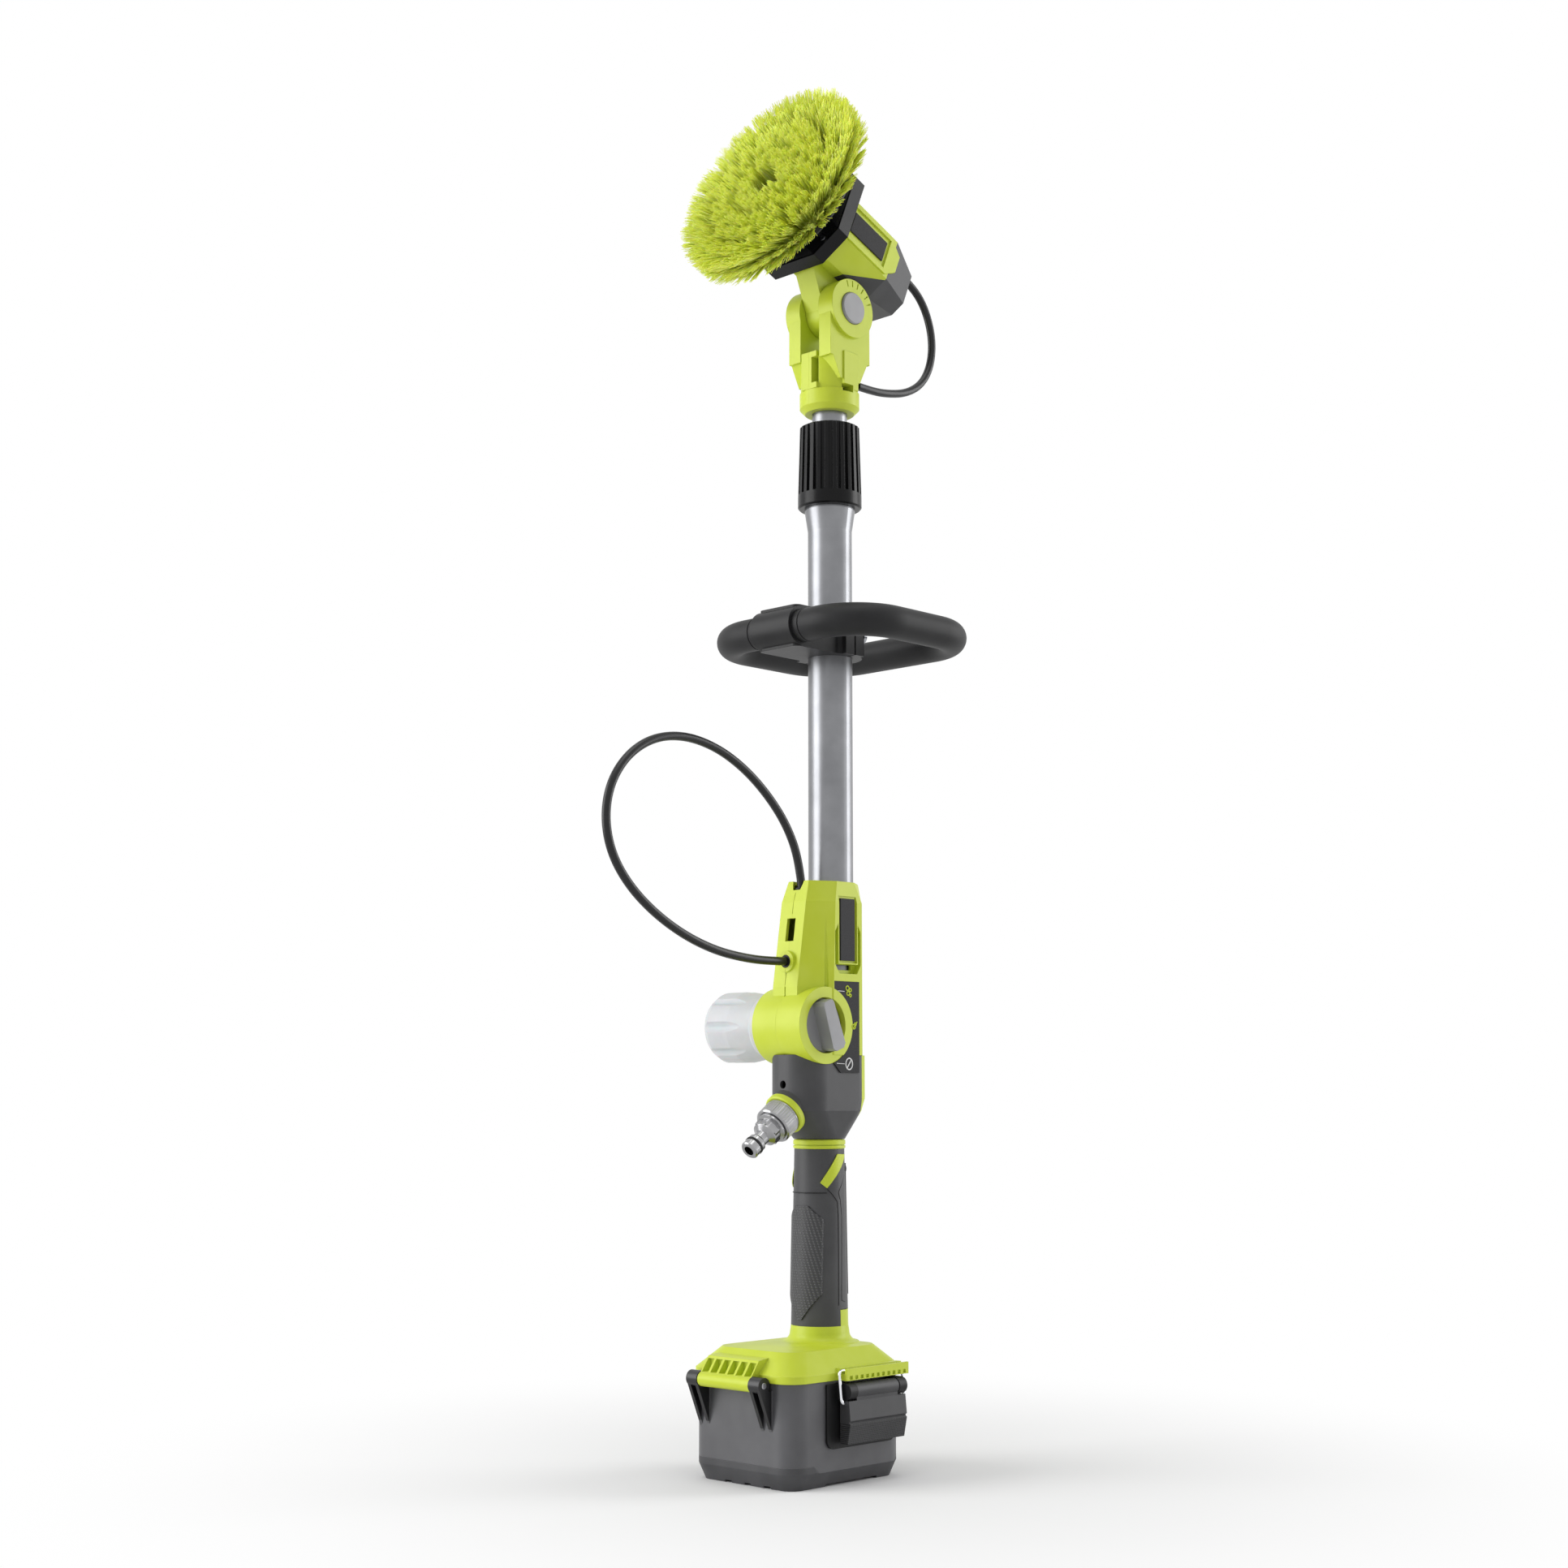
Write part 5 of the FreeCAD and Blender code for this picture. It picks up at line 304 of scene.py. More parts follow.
# The sunk diamonds are painted darker than the lever: painted shade in the pits.
shade = add_node(tree, "Mix", {MIX_B: srgb("#161617")}, {"Factor": pit_and_painted_shade.outputs["Value"], MIX_A: plain},
                 data_type="RGBA")
dip = add_node(tree, "Bump", {"Strength": 0.8, "Distance": -0.3 * MM},
               {"Height": pit_and_painted_shade.outputs["Value"], "Normal": shader.inputs["Normal"].links[0].from_socket})
tree.links.new(shade.outputs[MIX_OUT], shader.inputs["Base Color"])
tree.links.new(dip.outputs["Normal"], shader.inputs["Normal"])

# %% [markdown]
# ## Metals
# A drawn and anodised tube has fine lines along its length, which spread a highlight across it into soft
# streaks. Plated pieces are almost mirrors. Turned steel has rings round its axis. A metal's colour is its
# reflection, so the metallic value is 1 and the rest is roughness and a very shallow bump.

# %% A recipe for metal with lines in one direction
SMUDGE_MM = 18
METAL_EDGE_MM = 0.3


def lined_metal(name, colour, worn, roughness, stretch, line_mm, depth_mm):
    material, tree, shader = start_material(name, Metallic=1.0)
    place = add_node(tree, "TexCoord").outputs["Object"]
    along = add_node(tree, "Mapping", {"Scale": stretch}, {"Vector": place})
    lines = add_node(tree, "TexNoise", {"Scale": 1 / (line_mm * MM), "Detail": 4.0},
                     {"Vector": along.outputs["Vector"]})
    smudge = add_node(tree, "TexNoise", {"Scale": 1 / (SMUDGE_MM * MM), "Detail": 3.0}, {"Vector": place})
    gloss = add_node(tree, "MapRange", {"To Min": roughness - 0.07, "To Max": roughness + 0.09},
                     {"Value": lines.outputs["Fac"]})
    tint = add_node(tree, "MapRange", {"From Min": 0.3, "From Max": 0.8}, {"Value": smudge.outputs["Fac"]})
    shade = add_node(tree, "Mix", {MIX_A: srgb(colour), MIX_B: srgb(worn)},
                     {"Factor": tint.outputs["Result"]}, data_type="RGBA")
    round_edge = add_node(tree, "Bevel", {"Radius": METAL_EDGE_MM * MM}, samples=4)
    bump = add_node(tree, "Bump", {"Strength": 0.4, "Distance": depth_mm * MM},
                    {"Height": lines.outputs["Fac"], "Normal": round_edge.outputs["Normal"]})
    wire_surface(tree, shader, shade, gloss, bump)
    return material


# Lines of about 0.6 mm across the tube and 60 mm along it: coarser than real draw marks, so that they show.
drawn_aluminium = lined_metal("anodised_drawn_aluminium", "#8A8B8E", "#7C7D80", 0.33, (1, 1, 0.01), 0.6, 0.004)
chrome_plate = lined_metal("chrome_plated_wire", "#E4E5E8", "#CFD1D5", 0.10, (1, 1, 1), 3.0, 0.004)
nickel_brass = lined_metal("nickel_plated_turned_brass", "#A8A8A9", "#8E8E90", 0.2, (1, 1, 1), 2.0, 0.003)
turned_steel = lined_metal("turned_steel", "#A9ABAF", "#8B8D92", 0.30, (1, 1, 1), 0.8, 0.01)
bare_brass = lined_metal("machined_brass", "#C7A660", "#A98945", 0.28, (1, 1, 1), 0.8, 0.01)
print("with metals:", len(bpy.data.materials))

# %% [markdown]
# ## Grip pad
# The pad is rubber with rows of short raised dashes that lean to one side. The rows go round the handle, so
# the pattern uses the angle round the handle's axis and the height, turned into millimetres on the surface.

# %% Dashes in leaning rows
GRIP_LOW, GRIP_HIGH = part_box("grip_pad")
PAD_FRONT_TO_AXIS = 19.0 * MM
GRIP_AXIS_Y = GRIP_LOW.y + PAD_FRONT_TO_AXIS
GRIP_SKIN_MM = 18.0  # radius that turns an angle into millimetres on the skin
DASH_DEPTH_MM = 0.25


def dashed_rubber(name, colour, dash_painted_light, roughness, row_mm, dash_mm, lean):
    material, tree, shader = start_material(name)
    place = add_node(tree, "TexCoord").outputs["Object"]
    apart = add_node(tree, "SeparateXYZ", None, {"Vector": place})
    depth = add_node(tree, "Math", {1: GRIP_AXIS_Y}, {0: apart.outputs["Y"]}, operation="SUBTRACT")
    angle = add_node(tree, "Math", None, {0: apart.outputs["X"], 1: depth.outputs["Value"]},
                     operation="ARCTAN2")
    round_mm = add_node(tree, "Math", {1: GRIP_SKIN_MM}, {0: angle.outputs["Value"]}, operation="MULTIPLY")
    up_mm = add_node(tree, "Math", {1: 1 / MM}, {0: apart.outputs["Z"]}, operation="MULTIPLY")
    slant = add_node(tree, "Math", {1: lean}, {0: up_mm.outputs["Value"], 2: round_mm.outputs["Value"]},
                     operation="MULTIPLY_ADD")
    row = add_node(tree, "Math", {1: 2 * math.pi / row_mm}, {0: slant.outputs["Value"]}, operation="MULTIPLY")
    column = add_node(tree, "Math", {1: 2 * math.pi / dash_mm}, {0: up_mm.outputs["Value"]},
                      operation="MULTIPLY")
    row_wave = add_node(tree, "Math", None, {0: row.outputs["Value"]}, operation="SINE")
    dash_wave = add_node(tree, "Math", None, {0: column.outputs["Value"]}, operation="SINE")
    both = add_node(tree, "Math", {1: 0.6}, {0: dash_wave.outputs["Value"], 2: row_wave.outputs["Value"]},
                    operation="MULTIPLY_ADD")
    height = add_node(tree, "MapRange", {"From Min": 0.0, "From Max": 1.1}, {"Value": both.outputs["Value"]},
                      interpolation_type="SMOOTHSTEP")
    fine = add_node(tree, "TexNoise", {"Scale": 1 / (0.4 * MM)}, {"Vector": place})
    # The raised dashes are painted paler than the grooves: painted light on the tops, painted shade in the
    # grooves.
    shade = add_node(tree, "Mix", {MIX_A: srgb(colour), MIX_B: srgb(dash_painted_light)},
                     {"Factor": height.outputs["Result"]}, data_type="RGBA")
    gloss = add_node(tree, "MapRange", {"To Min": roughness - 0.05, "To Max": roughness + 0.08},
                     {"Value": fine.outputs["Fac"]})
    bump = add_node(tree, "Bump", {"Strength": 0.8, "Distance": DASH_DEPTH_MM * MM},
                    {"Height": height.outputs["Result"]})
    wire_surface(tree, shader, shade, gloss, bump)
    return material


grip_rubber = dashed_rubber("dashed_grip_rubber", "#2F2F31", "#4B4B4D", 0.45, 2.6, 1.7, -0.33)

# %% [markdown]
# ## Bottle, printed film, cable and bristles
# The bottle is blown from milky polyethylene: light goes in, scatters and comes out again nearby, which is
# what subsurface scattering does. The dial's plate is a printed film. A cable's jacket is smooth PVC with a
# long, shallow ripple from the extruder. A bristle is a nylon filament, painted darker at its root as painted
# shade between the tufts and paler at its tip as painted light.

# %% Milky bottle
milky_bottle, tree, shader = start_material("blown_milky_polyethylene", Subsurface_Weight=0.2,
                                            Subsurface_Scale=0.003, Specular_IOR_Level=0.35)
place = add_node(tree, "TexCoord").outputs["Object"]
cloud = add_node(tree, "TexNoise", {"Scale": 1 / (9 * MM), "Detail": 3.0}, {"Vector": place})
shade = add_node(tree, "Mix", {MIX_A: srgb("#C2C4C7"), MIX_B: srgb("#D0D2D4")},
                 {"Factor": cloud.outputs["Fac"]}, data_type="RGBA")
gloss = add_node(tree, "MapRange", {"To Min": 0.3, "To Max": 0.45}, {"Value": cloud.outputs["Fac"]})
round_edge = add_node(tree, "Bevel", {"Radius": 0.8 * MM}, samples=4)
wire_surface(tree, shader, shade, gloss, round_edge)

# %% Printed film in its colours


def printed_film(name, colour, roughness):
    material, tree, shader = start_material(name, Specular_IOR_Level=0.12)
    place = add_node(tree, "TexCoord").outputs["Object"]
    ink = add_node(tree, "TexNoise", {"Scale": 1 / (0.6 * MM), "Detail": 2.0}, {"Vector": place})
    tone = add_node(tree, "MapRange", {"To Max": 0.04}, {"Value": ink.outputs["Fac"]})
    shade = add_node(tree, "Mix", {MIX_A: srgb(colour), MIX_B: srgb("#FFFFFF")},
                     {"Factor": tone.outputs["Result"]}, data_type="RGBA")
    gloss = add_node(tree, "MapRange", {"To Min": roughness - 0.05, "To Max": roughness + 0.05},
                     {"Value": ink.outputs["Fac"]})
    wire_surface(tree, shader, shade, gloss)
    return material


dark_film = printed_film("dark_printed_film", "#1B1A1D", 0.48)
lime_ink = printed_film("lime_screen_ink", "#BFD02C", 0.45)
white_ink = printed_film("white_screen_ink", "#EDEDED", 0.45)

# %% Cable jacket
cable_pvc, tree, shader = start_material("extruded_pvc_jacket", Specular_IOR_Level=0.35)
place = add_node(tree, "TexCoord").outputs["Object"]
ripple = add_node(tree, "TexNoise", {"Scale": 1 / (6 * MM), "Detail": 3.0}, {"Vector": place})
shade = add_node(tree, "Mix", {MIX_A: srgb("#0E0E0F"), MIX_B: srgb("#1C1C1E")},
                 {"Factor": ripple.outputs["Fac"]}, data_type="RGBA")
gloss = add_node(tree, "MapRange", {"To Min": 0.26, "To Max": 0.40}, {"Value": ripple.outputs["Fac"]})
bump = add_node(tree, "Bump", {"Strength": 0.3, "Distance": 0.05 * MM}, {"Height": ripple.outputs["Fac"]})
wire_surface(tree, shader, shade, gloss, bump)

# %% Nylon filament
# Two numbers stored on the mesh colour each filament: how far a point is from the root, and a tint of its
# own.
filament, tree, shader = start_material("lime_nylon_filament", Subsurface_Weight=0.15, Subsurface_Scale=0.001)
height = add_node(tree, "Attribute", attribute_name="from_root")
tint = add_node(tree, "Attribute", attribute_name="own_tint")
# From root to tip, dark to pale: painted shade deep in the tufts and painted light on the tips.
body = add_node(tree, "Mix", {MIX_A: srgb("#B7C42C"), MIX_B: srgb("#F0FA62")},
                {"Factor": height.outputs["Fac"]}, data_type="RGBA")
shade = add_node(tree, "Mix", {MIX_B: srgb("#FBFFB4")},
                 {"Factor": tint.outputs["Fac"], MIX_A: body.outputs[MIX_OUT]}, data_type="RGBA")
gloss = add_node(tree, "MapRange", {"To Min": 0.3, "To Max": 0.5}, {"Value": tint.outputs["Fac"]})
wire_surface(tree, shader, shade, gloss)
print("all materials:", len(bpy.data.materials))

# %% [markdown]
# ## Every CAD piece gets its surface
# A CAD piece keeps its shape, and only its material slots change.

# %% Dress the CAD pieces
DRESS = {
    lime_abs: ["box_lid", "handle_ring", "housing_left", "housing_right", "inlet_ring", "neck_left",
               "neck_right", "head_shell_left", "head_shell_right", "tilt_lug"],
    grey_nylon: ["handle_front_shell", "handle_back_shell", "lower_cover", "head_rear_cover", "battery_pack"],
    tub_nylon_painted_sheen_and_shade: ["battery_tub"],
    lever_nylon: ["latch_lever"],
    mid_grey_nylon: ["valve_dial", "tilt_button"],
    black_nylon: ["latch_base", "trigger", "trigger_switch", "terminal_block", "brush_plate", "clamp_front",
                  "clamp_back"],
    gloss_black_abs: ["gear_cover", "lock_collar"],
    soft_rubber: ["loop_handle", "cable_grommets", "lid_gasket", "nipple_seal"],
    boot_rubber: ["box_boot"],
    grip_rubber: ["grip_pad"],
    drawn_aluminium: ["outer_tube", "inner_tube"],
    chrome_plate: ["latch_bail", "hinge_pin"],
    nickel_brass: ["coupling_nut", "hose_nipple"],
    turned_steel: ["pivot_sleeve", "tilt_spring", "trigger_spring", "cover_screws", "clamp_bolts",
                   "spindle_bearing", "motor_can", "motor_rotor", "spindle"],
    bare_brass: ["mixing_valve"],
    white_acetal: ["slide_bush", "tube_collet", "drive_gear"],
    milky_bottle: ["soap_bottle"],
    dark_film: ["dial_plate", "name_plate"],
    filament: ["outer_bristles", "inner_bristles"],
    cable_pvc: ["loop_cable", "head_cable"],
}


def dress(piece, material):
    piece.data.materials.clear()
    piece.data.materials.append(material)


for material, names in DRESS.items():
    for name in names:
        dress(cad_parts[name], material)
dress(loop_jacket, cable_pvc)
dress(head_jacket, cable_pvc)
dressed = sum(len(names) for names in DRESS.values())
print("CAD pieces dressed:", dressed, "of", len(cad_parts))

# %% [markdown]
# ## Bristles
# The brush is a black plate with circles of tufts. The outer circles lean out, so the brush ends in a wide
# fringe, and the inner ones stand nearly straight. One filament is modelled: a thin three-sided cone, cut
# across so that it can bend. Thousands of copies, each with its own place, lean, bend and length, make the
# tufts. A fixed seed gives the same brush on each run.

# %% One filament
TILT = math.radians(67.5)
BRUSH_AXIS = Vector((0.0, -math.sin(TILT), math.cos(TILT)))
HEAD_UP = Vector((0.0, math.cos(TILT), math.sin(TILT)))
PIVOT = Vector((0.0, 0.0, 775.0 * MM))
BRUSH_CENTRE = PIVOT + HEAD_UP * 50 * MM
PLATE_FACE = 65.5 * MM
TIP_FACE = 93.0 * MM

bpy.ops.object.select_all(action="DESELECT")
bpy.ops.mesh.primitive_cone_add(vertices=3, radius1=1.0, radius2=0.55, depth=1.0, end_fill_type="TRIFAN",
                                location=(0, 0, 0.5))
seed_filament = bpy.context.view_layer.objects.active
seed_filament.name = "one_filament"
bpy.ops.object.transform_apply(location=True, rotation=True, scale=True)
bpy.ops.object.mode_set(mode="EDIT")
bpy.ops.mesh.select_all(action="SELECT")
bpy.ops.mesh.bisect(plane_co=(0, 0, 0.5), plane_no=(0, 0, 1))
bpy.ops.object.mode_set(mode="OBJECT")
seed_points = np.array([vertex.co for vertex in seed_filament.data.vertices])
seed_faces = [list(face.vertices) for face in seed_filament.data.polygons if face.normal.z > -0.9]
print("one filament:", len(seed_points), "points,", len(seed_faces), "faces")
bpy.data.objects.remove(seed_filament)

# %% Copies in tufts
# All lengths of the brush are in millimetres. A tuft is a bunch from one hole of the plate: its own lean sets
# it apart from its neighbours, and each filament strays a little from the tuft.
SIDE_X = Vector((1.0, 0.0, 0.0))
HOLE_RADIUS = 1.9
HOLE_DEPTH = 1.0
FAN = 1.6  # how far a tuft opens from root to tip
TUFT_STRAY_OUT, TUFT_STRAY_ROUND = 1.5, 1.3
STRAY_ROUND_SHARE = 0.45
WORN = 0.075  # how much shorter a filament may be
BOW = 0.8
BOW_OUT = 0.13
TINT_SHARE = 0.7
TURN_STRAY = 0.02  # how far, in radians, a filament sits beside its place in the circle
FRINGE_EDGE = 76.5  # a tip that would pass this radius is turned back inside it
ANY_OTHER_WAY = np.array([0.3, 0.5, 1.0])  # a direction that no filament has
chance = np.random.default_rng(7)


def tuft_circle(count, root, tip, filaments, spread, first=0.0, rise=1.0):
    """Rows of numbers for one circle of tufts: the root, tip, bow and tint of each filament."""
    turn = np.repeat(np.arange(count) * 2 * np.pi / count + first, filaments)
    turn = turn + chance.normal(0, TURN_STRAY, turn.size)
    many = turn.size
    inside = np.sqrt(chance.random(many)) * HOLE_RADIUS
    around = chance.random(many) * 2 * np.pi
    root_out = root + inside * np.cos(around)
    root_turn = turn + inside * np.sin(around) / root
    tip_out = tip + (root_out - root) * FAN + chance.normal(0, spread, many)
    tip_out = tip_out + np.repeat(chance.normal(0, TUFT_STRAY_OUT, count), filaments)
    tip_out = FRINGE_EDGE - np.abs(FRINGE_EDGE - tip_out)
    tip_turn = root_turn + chance.normal(0, spread * STRAY_ROUND_SHARE, many) / tip
    tip_turn = tip_turn + np.repeat(chance.normal(0, TUFT_STRAY_ROUND, count), filaments) / tip
    reach = (TIP_FACE - PLATE_FACE) / MM * rise * (1 - np.abs(chance.normal(0, WORN, many)))
    foot = np.full(many, -HOLE_DEPTH)
    root_place = np.stack([root_out * np.cos(root_turn), root_out * np.sin(root_turn), foot], 1)
    tip_place = np.stack([tip_out * np.cos(tip_turn), tip_out * np.sin(tip_turn), reach], 1)
    return root_place, tip_place, chance.normal(0, BOW, (many, 2)), chance.random(many)


def bristle_mesh(name, circles, radius_mm):
    """One mesh of all filaments: copies of the one filament, each bent and set on its own line."""
    roots, tips, bends, tints = (np.concatenate(rows) for rows in zip(*circles))
    many, each = len(roots), len(seed_points)
    t = seed_points[:, 2][None, :, None]
    length = tips - roots
    centre = roots[:, None, :] * (1 - t) + tips[:, None, :] * t
    swell = (t * (1 - t) * 4)[..., 0]
    centre[..., 0] += swell * bends[:, None, 0]
    centre[..., 1] += swell * bends[:, None, 1]
    outward = roots[:, :2] / np.linalg.norm(roots[:, :2], axis=1)[:, None]
    flare = np.linalg.norm(tips[:, :2], axis=1) - np.linalg.norm(roots[:, :2], axis=1)
    centre[..., :2] -= (swell * (flare * BOW_OUT)[:, None])[..., None] * outward[:, None, :]
    along = length / np.linalg.norm(length, axis=1)[:, None]
    first = np.cross(along, ANY_OTHER_WAY)
    first /= np.linalg.norm(first, axis=1)[:, None]
    second = np.cross(along, first)
    ring = (seed_points[None, :, 0, None] * first[:, None, :]
            + seed_points[None, :, 1, None] * second[:, None, :])
    local = (centre + ring * radius_mm).reshape(-1, 3) * MM
    basis = np.array([SIDE_X, HEAD_UP, BRUSH_AXIS])
    world = local @ basis + np.array(BRUSH_CENTRE + BRUSH_AXIS * PLATE_FACE)
    starts = range(0, many * each, each)
    faces = [[corner + start for corner in face] for start in starts for face in seed_faces]
    mesh = bpy.data.meshes.new(name)
    mesh.from_pydata(world.tolist(), [], faces)
    height = mesh.attributes.new("from_root", "FLOAT", "POINT")
    height.data.foreach_set("value", np.tile(seed_points[:, 2], many).astype(np.float32))
    tint = mesh.attributes.new("own_tint", "FLOAT", "POINT")
    tint.data.foreach_set("value", np.repeat(tints ** 3 * TINT_SHARE, each).astype(np.float32))
    piece = bpy.data.objects.new(name, mesh)
    bpy.context.scene.collection.objects.link(piece)
    dress(piece, filament)
    triangles = sum(len(face) - 2 for face in seed_faces) * many
    print(name, "filaments:", many, "triangles:", triangles)
    return piece


# %% The wide fringe
# Real filaments are about 0.3 mm across; these are twice as thick, so that single ones show.
FILAMENT_RADIUS = 0.34
fringe_circles = [
    tuft_circle(42, 46.8, 60.0, 80, 3.0, 0.07),
    tuft_circle(46, 50.0, 71.0, 80, 3.0, rise=0.95),
    tuft_circle(46, 51.5, 74.5, 60, 2.4, 0.05, rise=0.6),
    tuft_circle(46, 52.5, 73.5, 45, 2.4, rise=0.3),
]
fringe = bristle_mesh("fringe_filaments", fringe_circles, FILAMENT_RADIUS)
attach(fringe, "brush")
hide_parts("outer_bristles")

# %% The standing tufts inside
standing_circles = [
    tuft_circle(34, 37.0, 45.0, 90, 2.4),
    tuft_circle(28, 31.0, 35.0, 90, 2.2, 0.1),
    tuft_circle(20, 21.0, 23.0, 90, 1.9),
    tuft_circle(15, 16.5, 15.0, 80, 1.6, 0.2),
]
standing = bristle_mesh("standing_filaments", standing_circles, FILAMENT_RADIUS)
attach(standing, "brush")
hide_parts("inner_bristles")

# %% [markdown]
# ## Small trim
# Printed signs, the wedge and the seams of the grip, and the plain plates on the head's sides are thin or
# shallow, so they are made here and laid on the CAD surfaces. A sign is a film of ink a few hundredths of a
# millimetre thick; its lines are drawn as thin round cords, half sunk in the plate, so that they show and
# don't flicker.

# %% Join lines to one piece


def join_lines(name, lines, radius, material):
    pieces = [mesh_cord(name, line, radius) for line in lines]
    bpy.ops.object.select_all(action="DESELECT")
    for piece in pieces:
        piece.select_set(True)
    bpy.context.view_layer.objects.active = pieces[0]
    bpy.ops.object.join()
    joined = bpy.context.view_layer.objects.active
    joined.name = name
    dress(joined, material)
    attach(joined, "frame")
    print(name, "lines:", len(lines), "faces:", len(joined.data.polygons))
    return joined


def ring_line(x, y, z, radius, high=1.0):
    """A closed line round a place, in a plane that faces right."""
    turns = [math.radians(30 * step) for step in range(13)]
    return [(x, y + radius * math.sin(turn), z + radius * high * math.cos(turn)) for turn in turns]


# %% Signs on the dial's plate
# Foam stands for soap, a drop for plain water, and a crossed ring for off. A thin line leads to the first and
# the last.
SIGN_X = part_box("dial_plate")[1].x / MM
FOAM = [(-8.0, 309.6, 1.5), (-5.4, 308.4, 1.1), (-7.4, 306.2, 1.3), (-5.2, 304.9, 0.9)]
DROP_TIP, DROP_FOOT = (1.2, 287.8), (-2.6, 283.6)
OFF_Y, OFF_Z, OFF_RADIUS = -6.6, 260.3, 3.3

foam_rings = [ring_line(SIGN_X, y, z, radius) for y, z, radius in FOAM]
drop_rings = [ring_line(SIGN_X, -1.9, 284.6, 1.5), ring_line(SIGN_X, -0.6, 286.2, 0.9)]
drop_rings.append([(SIGN_X, *DROP_TIP), (SIGN_X, *DROP_FOOT)])
join_lines("foam_and_drop_signs", foam_rings + drop_rings, 0.42 * MM, lime_ink)
slash = [(SIGN_X, OFF_Y + OFF_RADIUS * 0.6, OFF_Z + OFF_RADIUS * 0.8),
         (SIGN_X, OFF_Y - OFF_RADIUS * 0.6, OFF_Z - OFF_RADIUS * 0.8)]
join_lines("off_sign", [ring_line(SIGN_X, OFF_Y, OFF_Z, OFF_RADIUS, 1.15), slash], 0.4 * MM, white_ink)
leads = [[(SIGN_X, -17.2, 307.6), (SIGN_X, -10.8, 307.4)],
         [(SIGN_X, -18.4, 260.6), (SIGN_X, -11.0, 260.3)]]
join_lines("lead_lines", leads, 0.2 * MM, white_ink)

# %% Places on the grip
# The grip is a cone about an upright axis. An angle round it, counted from the front to the right, and a
# height name any place on its skin.
GRIP_FOOT, GRIP_TOP = (93.0, 18.6), (205.5, 16.4)  # height and radius of the cone's ends
STEPS = 6


def on_grip(angle, height, lift=0.0):
    share = (height - GRIP_FOOT[0]) / (GRIP_TOP[0] - GRIP_FOOT[0])
    radius = GRIP_FOOT[1] + share * (GRIP_TOP[1] - GRIP_FOOT[1]) + lift
    turn = math.radians(angle)
    return (radius * math.sin(turn), GRIP_AXIS_Y / MM - radius * math.cos(turn), height)


def grip_run(places):
    """A line through (angle, height) places, with steps small enough to stay on the round skin."""
    run = []
    for (angle, height), (next_angle, next_height) in zip(places, places[1:]):
        for share in (step / STEPS for step in range(STEPS)):
            run.append(on_grip(angle + (next_angle - angle) * share, height + (next_height - height) * share))
    return run + [on_grip(*places[-1])]


# %% Seams of the grip
# The front shell ends in a level seam and in an upright double seam at each side, where the lower shell
# begins.
SEAM_RIGHT = [(61, 180.4), (76, 176.1), (88, 171.7), (90, 163.0), (89, 136.0), (87, 106.0)]
SEAM_BACK = [(119, 188.6), (92, 177.7), (98, 172.4), (102, 163.0), (96, 109.0), (110, 107.9)]
SEAM_LEVEL = [(-61, 177.4), (0, 177.4), (61, 177.4)]
mirrored = [[(-angle, height) for angle, height in seam] for seam in (SEAM_RIGHT, SEAM_BACK)]
seams = [grip_run(seam) for seam in [SEAM_RIGHT, SEAM_BACK, SEAM_LEVEL] + mirrored]
join_lines("grip_seams", seams, 0.28 * MM, black_nylon)

# %% Lime wedge on each side of the grip
# A grid is laid on the skin by its four corners and given a wall, so it follows the round of the grip.
WEDGE = [(46.2, 183.9), (61.3, 180.4), (125.2, 201.8), (89.3, 202.2)]
WEDGE_LIFT = 0.35
WEDGE_WALL = 0.6 * MM


def wedge_on_grip(name, side):
    bpy.ops.object.select_all(action="DESELECT")
    bpy.ops.mesh.primitive_grid_add(x_subdivisions=12, y_subdivisions=4, size=1.0)
    wedge = bpy.context.view_layer.objects.active
    wedge.name = name
    corners = np.array(WEDGE)
    for vertex in wedge.data.vertices:
        across, along = vertex.co.x + 0.5, vertex.co.y + 0.5
        low = corners[0] * (1 - along) + corners[1] * along
        high = corners[3] * (1 - along) + corners[2] * along
        angle, height = low * (1 - across) + high * across
        vertex.co = Vector(on_grip(side * angle, height, WEDGE_LIFT)) * MM
    wall = wedge.modifiers.new("wall", "SOLIDIFY")
    wall.thickness = WEDGE_WALL
    wall.offset = 0.0
    bpy.ops.object.modifier_apply(modifier="wall")
    bpy.ops.object.mode_set(mode="EDIT")
    bpy.ops.mesh.select_all(action="SELECT")
    bpy.ops.mesh.normals_make_consistent(inside=False)
    bpy.ops.object.mode_set(mode="OBJECT")
    dress(wedge, lime_abs)
    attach(wedge, "frame")
    return wedge


for name, side in (("grip_wedge_right", 1), ("grip_wedge_left", -1)):
    print(name, "faces:", len(wedge_on_grip(name, side).data.polygons))

# %% Plain dark plates in the head's side frames
# They lie in the recess of the CAD shells.
PLATE_SIZE = (1.1 * MM, 16.0 * MM, 35.0 * MM)
PLATE_MIDDLE = 12.5 * MM
PLATE_X = 30.4 * MM
for name, side in (("head_plate_right", 1), ("head_plate_left", -1)):
    bpy.ops.object.select_all(action="DESELECT")
    middle = BRUSH_CENTRE + BRUSH_AXIS * PLATE_MIDDLE + SIDE_X * PLATE_X * side
    bpy.ops.mesh.primitive_cube_add(size=1.0, location=middle, rotation=(TILT, 0, 0), scale=PLATE_SIZE)
    bpy.ops.object.transform_apply(location=True, rotation=True, scale=True)
    plate = bpy.context.view_layer.objects.active
    plate.name = name
    rounding = plate.modifiers.new("rounding", "BEVEL")
    rounding.width = 0.5 * MM
    rounding.segments = 3
    bpy.ops.object.modifier_apply(modifier="rounding")
    dress(plate, dark_film)
    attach(plate, "head")
    print(name, "faces:", len(plate.data.polygons))

